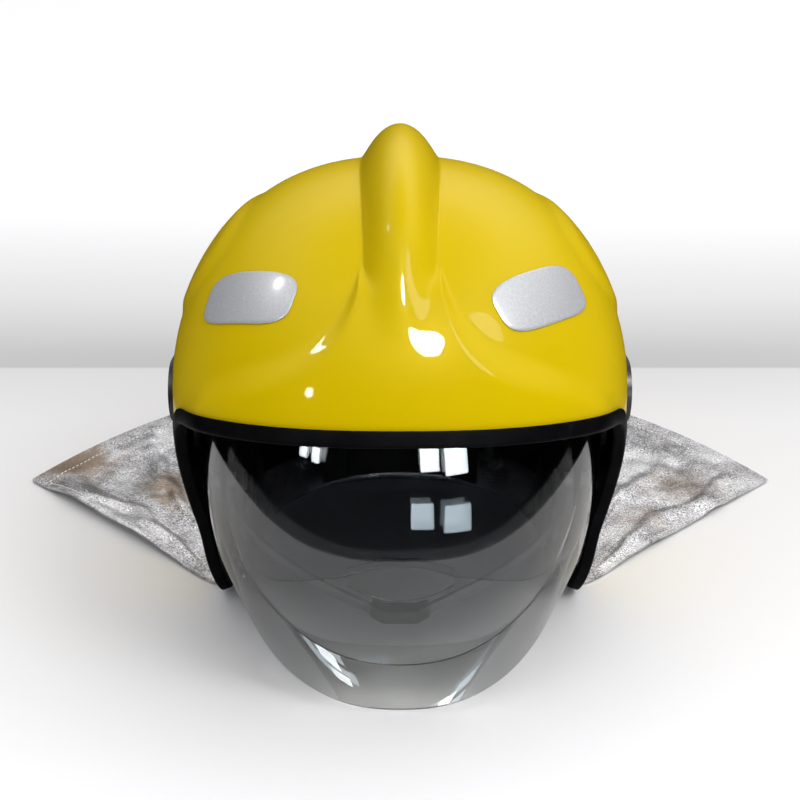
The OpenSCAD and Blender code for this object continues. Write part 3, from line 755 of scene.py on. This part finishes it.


def painted_reflection_spot(place, size, amount):
    """How strongly a painted brown reflection tints the cloth round one spot, in the piece's
    own metres.
    """
    far = silver.new("ShaderNodeVectorMath", operation="DISTANCE")
    silver.link(silver.coord.outputs["Object"], far.inputs[0])
    far.inputs[1].default_value = (*place, 0.004)
    k = silver.math("MULTIPLY_ADD", _breakup, SPOT_EDGE, far.outputs["Value"])
    edge, core = size + SPOT_EDGE / 2, size * 0.35 + SPOT_EDGE / 2
    return silver.ranged(k, from_min=edge, from_max=core, to_max=amount)


# Brown patches painted on the silver cloth as reflections, not wear
_painted_reflection_tone = _tone
for _place, _size, _amount, _colour in (
    ((-0.218, 0.068), 0.036, 0.85, (0.33, 0.22, 0.13)),
    ((-0.145, 0.03), 0.03, 0.8, (0.38, 0.28, 0.19)),
    ((0.183, 0.035), 0.032, 0.45, (0.38, 0.28, 0.19)),
    ((0.15, -0.008), 0.02, 0.4, (0.38, 0.28, 0.19)),
):
    _painted_reflection_tone = silver.blend(painted_reflection_spot(_place, _size, _amount), _painted_reflection_tone, _colour)
silver.link(_painted_reflection_tone, silver.bsdf.inputs["Base Color"])
silver.rough(silver.noise(220, 4.0), 0.17, 0.3)
silver.bump(silver.noise(15, 2.0, rough=0.4), 18.0, 0.42)
silver.bump(silver.cells(80), 1.0, 0.25)
silver.bump(silver.noise(1300, 2.0), 0.34)

pale_thread = Paint("Pale thread", (0.75, 0.75, 0.74), 0.6, Sheen_Weight=0.3)
pale_thread.mottled(1600, 2.0, (0.3, (0.6, 0.6, 0.59)), (0.7, (0.85, 0.85, 0.84)))

shield_glass = glass(
    "Clear polycarbonate", (0.5, 0.5, 0.49), 0.0, 1.585, 0.66, (16, 1.0), 0.02
)
ocular_glass = glass(
    "Lightly smoked polycarbonate", (0.52, 0.54, 0.6), 0.0, 1.585, 0.12, (18, 1.0), 0.02
)
soft_clear = glass("Clear soft vinyl", (0.85, 0.87, 0.88), 0.12, 1.45, 0.8, (60, 2.0), 0.2)


def wear(obj, *paints):
    if len(obj.data.materials):
        obj.data.materials.clear()
    for p in paints:
        obj.data.materials.append(p.m)


def stand_for(obj, node, slot, *paints):
    """Gives a piece its materials and hides the CAD node it replaces; slot is not used."""
    wear(obj, *paints)
    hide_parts(node)


# ---------------------------------------------------------------- shell and outside

u, v = square(170)
psi, eps = dome_aim(RIM, u * (0.45 + 0.55 * u * u), v)  # its rows crowd at the comb
shell = closed_sheet(
    "Shell", seated(shell_at(psi, eps, 0.0)), seated(shell_at(psi, eps, -SHELL_WALL)),
    groups=True, angle=60,
)
stand_for(shell, "outer_shell", "yellow_shell", yellow, inner_black_and_painted_reflection)

steps = 900
rim = rim_frame(np.arange(steps) * TURNS / steps)
TRIM_LEG, TRIM_HEIGHT, TRIM_WEB = 1.4, 6, 2
inner, low = -SHELL_WALL, TRIM_HEIGHT - 1
profile = rounded(
    [
        (TRIM_LEG, TRIM_HEIGHT), (TRIM_LEG + 0.3, -0.5), (1, -TRIM_WEB), (inner - 1, -TRIM_WEB),
        (inner - 1.8, -0.5), (inner - 1.5, low), (inner - 0.1, low), (inner - 0.1, 0), (0.1, 0),
        (0.1, TRIM_HEIGHT),
    ],
    0.75, 3,
)
rings = np.stack([off_rim(rim, n, b) for n, b in profile], 1)
trim = swept("EdgeTrim", seated(rings), angle=50)
stand_for(trim, "edge_trim", "black_rubber", rubber)


PATCH_HALF, PATCH_TALL = 30.5, 14  # half sizes


def patch_surface(psi, eps, turn, off):
    """A patch's skin round a point of the shell, off from it; the outer skin's edge dips."""
    c = shell_at(np.array(float(psi)), np.array(float(eps)), 0.0)
    u = unit(c)
    e = unit(np.array([-u[1], u[0], 0]))
    g = np.cross(u, e)
    turn = math.radians(turn)
    ax, ay = e * math.cos(turn) + g * math.sin(turn), g * math.cos(turn) - e * math.sin(turn)
    a, b = np.meshgrid(np.linspace(-1, 1, 61), np.linspace(-1, 1, 41), indexing="ij")
    k = (np.abs(a) ** 3.6 + np.abs(b) ** 3.6) ** (1 / 3.6)
    edge = np.maximum(abs(a), abs(b))
    s = np.where(k > 1e-9, edge / np.maximum(k, 1e-9), 1)
    q = c + ax * (a * s * PATCH_HALF)[..., None] + ay * (b * s * PATCH_TALL)[..., None]
    d = unit(q)
    lift = off if off < 0.5 else mix(off, 0.55, ss(0.965, 1.0, edge))
    return shell_at(np.degrees(np.arctan2(d[..., 0], -d[..., 1])),
                    np.degrees(np.arcsin(d[..., 2])), lift)


for side, aim in (("left", (-41, 39, 8)), ("right", (37.5, 39.6, 7))):
    skins = (seated(patch_surface(*aim, off)) for off in (0.9, 0.3))
    patch = closed_sheet(f"ReflectivePatch_{side}", *skins)
    stand_for(patch, f"{side}_reflective_patch", "reflective_film", film)

# ---------------------------------------------------------------- liner and harness

liner = closed_sheet("ImpactLiner", *(seated(liner_surface(k)) for k in (False, True)))
stand_for(liner, "impact_liner", "foam", foam)

band = ring_band("Headband", BAND_SIDE, BAND_LONG, 1.6, BAND_LOW, BAND_HIGH, 0, 356, 240)
stand_for(band, "headband", "black_plastic", grey_plastic)

sweat = ring_band(
    "Sweatband", BAND_SIDE - 2, BAND_LONG - 2, 4, BAND_LOW - 0.6, BAND_HIGH + 0.6,
    -62, 62, 260, bulge=1.6, seams=9,
)
stand_for(sweat, "sweatband", "leather", leather)
for k, z in enumerate((BAND_LOW + 2.2, BAND_HIGH - 2.2)):
    w = np.radians(np.linspace(-60, 60, 300))
    line = np.stack(
        [(BAND_SIDE - 6.6) * np.sin(w), -(BAND_LONG - 6.6) * np.cos(w), 0 * w + z], -1
    )
    inward = seated(line * [0.9, 0.9, 1]) - seated(line)
    stitched(f"SweatbandStitch_{k}", seated(line), inward, 3.4, 2.5, 0.35, thread)


ARCH_LOW, ARCH_POW, CROWN_STRAP_HALF = 24, 2.6, 11


def arch_line(a, h):
    z = ARCH_LOW + (h - ARCH_LOW) * np.sin(np.linspace(0, math.pi / 2, 40))
    x = a * np.clip(1 - (z / h) ** ARCH_POW, 0, None) ** (1 / ARCH_POW)
    half = np.stack([x, z], -1)
    return np.concatenate([half, half[-2::-1] * [-1, 1]])


def crown_strap(name, a, h, turned):
    across = np.linspace(-CROWN_STRAP_HALF, CROWN_STRAP_HALF, 9)
    grids = []
    for g in (arch_line(a, h), arch_line(a - 1.4, h - 1.4)):
        x, y = np.meshgrid(g[:, 0], across, indexing="ij")
        z = g[:, 1:] + 0 * y
        grids.append(seated(np.stack([-y, x, z] if turned else [x, y, z], -1)))
    return closed_sheet(name, *grids)


for name, node, a, h, turned in (
    ("CrownStrapSide", "crown_strap_side", BAND_SIDE - 2.2, 103, False),
    ("CrownStrapLong", "crown_strap_long", BAND_LONG - 7.6, 100.8, True),
):
    strap = crown_strap(name, a, h, turned)
    stand_for(strap, node, "webbing", dark_webbing)


def stuffed(name, outline, place, thick, inset, voxel, cap):
    """A pad from an outline in its own plane: a slightly smaller form, then swollen."""
    o = np.array(outline, float)
    rings = []
    for h, k in ((0.0, inset + 1.2), (0.12, inset), (0.88, inset), (1.0, inset + 1.2)):
        r = np.linalg.norm(o, axis=1, keepdims=True)
        rings.append(np.hstack([o * (r - k) / r, np.full((len(o), 1), h * thick)]))
    top = [np.hstack([o * s, np.full((len(o), 1), thick)]) for s in (0.6, 0.3)]
    low = [np.hstack([o * s, np.zeros((len(o), 1))]) for s in (0.3, 0.6)]
    rings = np.array(low + rings + top)
    return puffed(swept(name, place(rings), closed=False), voxel, cap)


PAD_R, EAR_R, EAR_STRAIGHT = 34, 17, 12
w = circle(48)
pad = stuffed(
    "CrownPad", np.stack([PAD_R * np.cos(w), PAD_R * np.sin(w)], -1),
    lambda q: seated(q + [0, 0, 87.8]), 4.6, 1.6, 4.0, 1.4,
)
stand_for(pad, "crown_pad", "foam", fabric)
r = PAD_R - 0.8
loop = seated(np.stack([r * np.cos(w), r * np.sin(w), 0 * w + 90.2], -1))
wear(swept("CrownPadPiping", tube(loop, 0.9, closed=True)), dark_webbing)

t = np.linspace(0, math.pi, 25)
ear_path = np.concatenate([
    np.stack([EAR_R * np.cos(a), y + EAR_R * np.sin(a)], -1)
    for a, y in ((t, EAR_STRAIGHT), (t + math.pi, -EAR_STRAIGHT))
])
for side, s in (("left", -1), ("right", 1)):

    def beside(q, s=s):
        return seated(np.stack([s * (82.4 + q[..., 2]), 18 + q[..., 0], -51 + q[..., 1]], -1))

    ear = stuffed(f"EarPad_{side}", ear_path, beside, 8.6, 2.0, 4.0, 2.2)
    stand_for(ear, f"{side}_ear_pad", "foam", fabric)
    loop = np.hstack([ear_path * 0.985, np.full((len(ear_path), 1), 4.4)])
    wear(swept(f"EarPadPiping_{side}", tube(beside(loop), 0.9, closed=True)), dark_webbing)

# ---------------------------------------------------------------- chin strap

ANCHOR = np.array([0, -12.0, -28.0])
RUN, ACROSS = np.array([0, -0.69, -0.724]), np.array([0, 0.724, -0.69])
STRAP_HALF, STITCH_IN = 8.5, 1.3


def strap_xy(t):
    return np.stack([91 - 79 * t**1.7, 12 + 68 * t - 4 * t * t], -1)


def strap_surface(s, lift, t, side):
    a = strap_xy(t)
    d = strap_xy(t + 0.01) - a
    q = a + unit(np.stack([d[:, 1], -d[:, 0]], -1)) * lift
    line = np.stack([s * q[:, 0], 0 * t, 0 * t], -1) + ANCHOR + q[:, 1:2] * RUN
    return seated(line[:, None] + side[None, :, None] * ACROSS)


for side, s in (("left", -1), ("right", 1)):
    t, across = np.linspace(0.02, 0.99, 90), np.linspace(-STRAP_HALF, STRAP_HALF, 9)
    strap = closed_sheet(
        f"ChinStrap_{side}",
        strap_surface(s, 0.8, t, across), strap_surface(s, -0.8, t, across),
        body="chin_strap",
    )
    stand_for(strap, f"{side}_chin_strap", "webbing", webbing)
    for k, edge in enumerate((STITCH_IN - STRAP_HALF, STRAP_HALF - STITCH_IN)):
        line = strap_surface(s, 0.8, t, np.array([edge]))[:, 0]
        over = strap_surface(s, 1.8, t, np.array([edge]))[:, 0] - line
        name = f"ChinStrapStitch_{side}_{k}"
        stitched(name, line, over, 3.2, 2.3, 0.3, thread, "chin_strap")

# ---------------------------------------------------------------- visors


def visor_piece(name, top, under, body, paint, node, slot):
    piece = closed_sheet(name, seated(top), seated(under), body, angle=50)
    stand_for(piece, node, slot, paint)


w = np.linspace(-1, 1, 261) * edge_turn(SHIELD_R)
v = np.concatenate([np.linspace(0, 0.97, 40), [0.985, 1, 1.015], np.linspace(1.04, 2, 26)])
W, V = np.meshgrid(w, v, indexing="ij")
visor_piece(
    "FaceShield", shield_at(W, V, 0.0), shield_at(W, V, -SHIELD_WALL), "face_shield",
    shield_glass, "face_shield", "clear_visor",
)

w = np.linspace(-1, 1, 221) * edge_turn(OCULAR_R)
v = np.linspace(0, 1, 50)
W, V = np.meshgrid(w, v, indexing="ij")
x = visor_at(OCULAR_SIDE, OCULAR_R, W, 0.0)[..., 0]
turn = mix(OCULAR_TOP, ocular_low(x), V)
visor_piece(
    "EyeVisor", visor_at(OCULAR_SIDE, OCULAR_R, W, turn),
    visor_at(OCULAR_SIDE - OCULAR_WALL, OCULAR_R - OCULAR_WALL, W, turn),
    "ocular_visor", ocular_glass, "ocular_visor", "clear_visor",
)


NOSE_HALF = 26


def saddle(off):
    """The nose piece's skin, off from the eye visor's outer face."""
    i, k = np.meshgrid(
        np.linspace(-NOSE_HALF, NOSE_HALF, 61), np.linspace(0, 1, 21), indexing="ij"
    )
    bow = 1 - (i / NOSE_HALF) ** 2
    th = np.radians(mix(ocular_low(i) + 1.5, -25 + 5 * (i / NOSE_HALF) ** 2, k))
    across = (1 - (np.abs(i) / OCULAR_SIDE) ** VISOR_POW) ** (1 / VISOR_POW)
    r = (OCULAR_R + off - 1.9 * k * bow) * across
    return np.stack([i, -r * np.cos(th), r * np.sin(th)], -1)


visor_piece(
    "NosePiece", saddle(-2.1), saddle(-3.9), "ocular_visor",
    soft_clear, "nose_piece", "clear_soft",
)

# ---------------------------------------------------------------- neck curtain

CURTAIN_FROM, CLOTH = 10.9, 1.6  # rim turn where the cloth begins, and its thickness
TIP_X, TIP_Y, BEND_X, BEND_Y, HEM_Y = 241, 113, 150, 268, 275
CURTAIN_KEYS = [8, 3, 6, 12, 12, 12, 14]  # mesh rows in each gap between key lines
LIE = 0.9  # height of the cloth's middle where it lies on the table
FOLD, CRUMPLE, SWELL, CURL = 2.6, 1.0, 2.2, 4.0  # heights of its relief


def hem_at(share):
    """Hem point in the row frame's plan, share 0 to 1 from the +X tip round to the -X tip."""
    q = 1 - np.abs(2 * share - 1)
    s = np.where(share < 0.5, 1, -1)
    x = TIP_X * (1 - q) ** 2 + BEND_X * 2 * q * (1 - q)
    y = TIP_Y * (1 - q) ** 2 + BEND_Y * 2 * q * (1 - q) + HEM_Y * q * q
    return np.stack([s * x, PIVOT_Y + y], -1)


def curtain_lines(share):
    """Key lines of the cloth, from its band down to the table and out to the hem."""
    turn = CURTAIN_FROM + (TURNS - 2 * CURTAIN_FROM) * share
    f = rim_frame(turn)
    foot = seated(f[0])[:, :2]
    flat = unit(foot - [0, PIVOT_Y + 18])
    top = seated(off_rim(f, -SHELL_WALL - 5.4, 15.0))
    outer, hem = foot + flat * 7, hem_at(share)
    low = foot - flat * 9.8

    def at(p, z):
        return np.hstack([p, np.full((len(p), 1), float(z))])

    keys = [top, at(low, 9), at(low, 3.4)]
    keys += [at(outer + (hem - outer) * k, LIE) for k in (0, 0.25, 0.5, 0.75, 1)]
    return np.array(keys)


def smooth_rows(keys, per):
    """A spline through the key rows, with per[i] rows in gap i."""
    k = np.concatenate([[2 * keys[0] - keys[1]], keys, [2 * keys[-1] - keys[-2]]])
    rows, seg = [], []
    for i in range(len(keys) - 1):
        for t in np.arange(per[i]) / per[i]:
            rows.append(spline(*k[i : i + 4], t))
            seg.append(i + t)
    return np.array(rows + [keys[-1]]), np.array(seg + [len(keys) - 1.0])


share = np.linspace(0, 1, 421)
rows, seg = smooth_rows(curtain_lines(share), CURTAIN_KEYS)
grid = rows.transpose(1, 0, 2).copy()
out = np.clip((seg - 3) / 4, 0, 1)  # 0 where the cloth reaches the table, 1 at the hem
for i, col in enumerate(grid):
    for j, p in enumerate(col):
        k = out[j]
        if k <= 0:
            continue
        hang = math.sin(math.pi * min(1.0, k * 1.02)) ** 0.7
        big = fractal(Vector((p[0] * 0.012, p[1] * 0.012, 3.1)), 1.0, 2.0, 3)
        small = fractal(Vector((p[0] * 0.05, p[1] * 0.05, 8.7)), 0.8, 2.0, 4)
        fold = max(0.0, math.sin(share[i] * 61 + big * 3.0)) ** 3
        edge = ss(0.0, 0.22, k) * (1 - 0.75 * ss(0.9, 1.0, k))
        swell = math.sin(share[i] * 23 + k * 5 + big * 2) * math.sin(k * 7 + share[i] * 9)
        curl = math.exp(-(((share[i] - 0.995) / 0.02) ** 2))
        curl *= ss(0.15, 0.5, k) * (1 - ss(0.7, 0.95, k))
        rise = FOLD * (fold + abs(big)) * hang + CRUMPLE * abs(small) * edge
        rise += SWELL * max(0.0, swell) * hang + CURL * float(curl)
        col[j, 2] = max(p[2], LIE) + rise * edge
hem_strip = ss(0.945, 0.95, out)[None, :, None]
normal = unit(np.cross(np.gradient(grid, axis=0), np.gradient(grid, axis=1)))
normal *= np.sign(normal[:, -12:, 2].mean())
top = grid + normal * (CLOTH / 2 + 0.35 * hem_strip)
under = grid - normal * (CLOTH / 2)
top[..., 2] = np.maximum(top[..., 2], 0.45)
under[..., 2] = np.maximum(under[..., 2], 0.05)
curtain = closed_sheet("NeckCurtain", top, under, angle=70)
stand_for(curtain, "neck_curtain", "aluminised_fabric", silver)

hem_row = int(np.argmin(np.abs(out - 0.93)))
seam = (3.6, 2.5, 0.42, pale_thread)
hem = stitched("CurtainHemStitch", top[:, hem_row], normal[:, hem_row], *seam)
j = slice(int(np.argmax(seg >= 3.2)), hem_row)
fronts = [
    stitched(f"CurtainFrontStitch_{k}", top[col, j], normal[col, j], *seam)
    for k, col in ((0, 3), (1, -4))
]

share = np.linspace(0, 1, 200)
f = rim_frame(mix(CURTAIN_FROM + 0.5, TURNS - CURTAIN_FROM - 0.5, share))
cband = closed_sheet("CurtainBand", *(
    seated(np.stack([off_rim(f, n, b) for b in np.linspace(6, 13, 7)], 1))
    for n in (-SHELL_WALL - 3.7, -SHELL_WALL - 2.3)
))
stand_for(cband, "curtain_band", "webbing", dark_webbing)

share = np.arange(7) / 6
f = rim_frame(mix(CURTAIN_FROM + 0.8, TURNS - CURTAIN_FROM - 0.8, share))
at = seated(off_rim(f, -SHELL_WALL - 7.2, 11.5))
towards = seated(off_rim(f, -SHELL_WALL - 8.2, 11.5)) - at
snaps = lathe(
    "CurtainSnaps", list(zip(at, towards)),
    [(0, 5.2), (0.5, 5.4), (0.9, 5.1), (1.2, 4.4), (1.3, 3.0), (1.9, 2.7), (2.5, 2.0),
     (2.8, 0.8)],
)
stand_for(snaps, "curtain_snaps", "steel", steel)

# ---------------------------------------------------------------- CAD nodes that stay

for paint, slot, widths in (
    (plastic, "black_plastic", {
        "left_side_plate": 0.5, "right_side_plate": 0.5,
        "left_pivot_bracket": 0.4, "right_pivot_bracket": 0.4, "pivot_washers": 0.3,
        "ratchet_housing": 0.6, "ratchet_knob": 0.6,
        "left_strap_hanger": 0.5, "right_strap_hanger": 0.5, "chin_cup": 0.8,
        "left_shield_hub": 0.4, "right_shield_hub": 0.4,
        "left_ocular_hub": 0.4, "right_ocular_hub": 0.4,
    }),
    (grey_plastic, "black_plastic", {
        "nape_links": 0.4, "nape_cradle": 0.4, "left_rack": 0.2, "right_rack": 0.2,
    }),
    (rubber, "black_rubber", {"left_plate_gasket": 0.4, "right_plate_gasket": 0.4}),
    (steel, "steel", {
        "side_plate_screws": 0.25, "left_pivot_bolt": 0.4, "right_pivot_bolt": 0.4,
        "ratchet_pinion": 0.12, "strap_anchors": 0.4,
    }),
):
    for name, width in widths.items():
        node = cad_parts[name]
        wear(node, paint)
        m = node.modifiers.new("Rounded edges", "BEVEL")
        m.width, m.segments, m.limit_method = width * MM, 2, "ANGLE"
        m.angle_limit, m.harden_normals = math.radians(35), False

# ---------------------------------------------------------------- floor, light, camera


TABLE_EDGE = 0.28  # in reflections the pale table ends here, and the dark room begins
table = Paint("Pale floor", (0.8, 0.8, 0.81), 0.6, Specular_IOR_Level=0.2,
              Emission_Color=(1, 0.99, 1, 1))
_sep = table.new("ShaderNodeSeparateXYZ")
table.link(table.coord.outputs["Object"], _sep.inputs[0])
# Painted shade: the floor darkens from the front to behind the head, with a dark band just past
# the hem
table.colour(
    table.ranged(_sep.outputs["Y"], from_min=-0.3, from_max=0.7),
    [(at, (g, g - 0.005, g)) for at, g in (
        (0.05, 0.93), (0.207, 0.83), (0.437, 0.71), (0.5285, 0.6), (0.531, 0.44),
        (0.563, 0.46), (0.67, 0.64), (0.95, 0.93),
    )],
)
_reach = table.new("ShaderNodeVectorMath", operation="DISTANCE")
table.link(table.placed((0.7, 1, 1)), _reach.inputs[0])
_reach.inputs[1].default_value = (0, PIVOT_Y * MM, 0)
_reach = _reach.outputs["Value"]
# Painted light: the floor glows a little more the farther it lies from the head, lifting its
# shade
table.link(
    table.ranged(_reach, from_min=0.14, from_max=0.4, to_max=0.1),
    table.bsdf.inputs["Emission Strength"],
)
_path = table.new("ShaderNodeLightPath")
_dark = table.new("ShaderNodeBsdfDiffuse")
_dark.inputs["Color"].default_value = (0.004, 0.004, 0.004, 1)
table.shaders(
    table.math(
        "MULTIPLY", table.math("GREATER_THAN", _reach, TABLE_EDGE),
        table.math("GREATER_THAN", _path.outputs["Glossy Depth"], 0.5),
    ),
    table.bsdf.outputs[0], _dark.outputs[0],
)

FLOOR_Z = -0.0006
floor_mesh = bpy.data.meshes.new("floor")
floor_mesh.from_pydata(
    [(-4, -4, FLOOR_Z), (4, -4, FLOOR_Z), (4, 6, FLOOR_Z), (-4, 6, FLOOR_Z)], [], [(0, 1, 2, 3)]
)
floor_mesh.materials.append(table.m)
floor = bpy.data.objects.new("floor", floor_mesh)
scene.collection.objects.link(floor)
floor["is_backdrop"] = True

world = bpy.data.worlds.new("Studio")
scene.world = world
world.use_nodes = True


class Sky(Nodes):
    """The room's light: soft from above, brighter on the right, dim low down in reflections."""

    def __init__(self, tree):
        self.nt = tree
        coord, split = self.new("ShaderNodeTexCoord"), self.new("ShaderNodeSeparateXYZ")
        self.link(coord.outputs["Generated"], split.inputs[0])
        self.x, self.y, self.z = split.outputs
        self.path = self.new("ShaderNodeLightPath")

    def dome(self, stops, back=0.0):
        """Grey by height; back lifts the far side of the room."""
        ramp = self.new("ShaderNodeValToRGB")
        self.link(self.math("MULTIPLY_ADD", self.y, back, self.z), ramp.inputs["Fac"])
        e = ramp.color_ramp.elements
        for k, (at, v) in enumerate(stops):
            if k > 1:
                e.new(at)
            e[k].position, e[k].color = at, (v, v, v * 1.01, 1)
        return ramp.outputs["Color"]

    def side(self, low, high):
        return self.ranged(self.x, from_min=-1, to_min=low, to_max=high)

    def none_yet(self, kind):
        """1 on a ray with no bounce of this kind behind it."""
        return self.math("LESS_THAN", self.path.outputs[f"{kind} Depth"], 0.5)


sky = Sky(world.node_tree)
_soft = sky.blend(
    1.0, sky.dome([(0.05, 0.08), (0.4, 0.46), (1.0, 1.6)], 0.15), sky.side(0.55, 1.45),
    "MULTIPLY",
)
_gloss = sky.blend(
    1.0, sky.dome([(0.1, 0.004), (0.45, 0.06), (0.68, 0.75), (0.86, 1.5), (1.0, 0.4)], 0.25),
    sky.side(0.5, 1.5), "MULTIPLY",
)
_seen = sky.dome([(0.0, 0.5), (0.3, 0.85)])
_light = sky.blend(sky.none_yet("Glossy"), _gloss, _soft)
_plain = sky.math("MULTIPLY", sky.none_yet("Diffuse"), sky.none_yet("Glossy"))
_light = sky.blend(_plain, _light, _seen)
# Light that reaches a dull surface through the visors comes from the lamps alone
_under = sky.math(
    "MULTIPLY", sky.path.outputs["Is Transmission Ray"],
    sky.math("GREATER_THAN", sky.path.outputs["Diffuse Depth"], 0.5),
)
_light = sky.blend(_under, _light, (0.0, 0.0, 0.0))
sky.link(_light, world.node_tree.nodes["Background"].inputs["Color"])

HEAD = Vector((0, PIVOT_Y, PIVOT_Z + 60)) * MM


def lamp(name, direction, distance, size, radiance, tall=0, colour=(1, 1, 1), diffuse=False):
    """A lamp aimed at the head, round unless tall; without diffuse it only makes highlights."""
    d = Vector(direction).normalized()
    data = bpy.data.lights.new(name, "AREA")
    data.shape, data.size, data.color = "RECTANGLE" if tall else "DISK", size, colour
    if tall:
        data.size_y = tall
    area = size * tall if tall else size * size * math.pi / 4
    data.energy = radiance * area * math.pi
    o = bpy.data.objects.new(name, data)
    o.visible_diffuse, o.visible_camera = diffuse, False
    o.location = HEAD + d * distance
    o.rotation_mode = "QUATERNION"
    o.rotation_quaternion = (-d).to_track_quat("-Z", "Y")
    scene.collection.objects.link(o)


def aimed(azimuth, elevation):
    a, e = math.radians(azimuth), math.radians(elevation)
    return math.sin(a) * math.cos(e), -math.cos(a) * math.cos(e), math.sin(e)


lamp("Soft", (0.5, -0.42, 0.8), 1.4, 0.5, 8, diffuse=True)
lamp("Key", (0.126, -0.571, 0.811), 1.3, 0.24, 130)
lamp("Left", (-0.68, 0.12, 0.72), 1.2, 0.07, 70)
lamp("LowLeft", (-0.53, -0.68, 0.51), 1.2, 0.08, 90)
for k, (az, el, wide, tall) in enumerate(
    [(9.5, 12, 0.2, 0.36), (22, 8.5, 0.3, 0.3), (-46, 8, 0.13, 0.17), (-38, 7.5, 0.12, 0.16)]
):
    lamp(f"Window{k}", aimed(az, el), 1.5, wide, 14, tall, (0.9, 0.96, 1.0))
for k, (az, el, wide, tall) in enumerate([(6, -14, 0.055, 0.075), (19.5, -16, 0.088, 0.085)]):
    lamp(f"TableWindow{k}", aimed(az, el), 0.45, wide, 6, tall, (0.75, 0.9, 1.0))

camera = bpy.data.cameras.new("Camera")
camera.lens, camera.sensor_width, camera.shift_y = 64.8, 36.0, 0.03125
camera.clip_start, camera.clip_end = 0.05, 50
eye = bpy.data.objects.new("Camera", camera)
scene.collection.objects.link(eye)
CAMERA_UP, CAMERA_AWAY = math.radians(26.5), 0.8
_back = Vector((0, -math.cos(CAMERA_UP), math.sin(CAMERA_UP)))
eye.location = Vector((0, PIVOT_Y, PIVOT_Z)) * MM + _back * CAMERA_AWAY
eye.rotation_mode = "QUATERNION"
eye.rotation_quaternion = (-_back).to_track_quat("-Z", "Y")
scene.camera = eye

scene.view_settings.view_transform = "Standard"
scene.cycles.use_denoising = True
scene.cycles.max_bounces = 16
scene.cycles.transmission_bounces = 16
scene.cycles.transparent_max_bounces = 16

low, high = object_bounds()
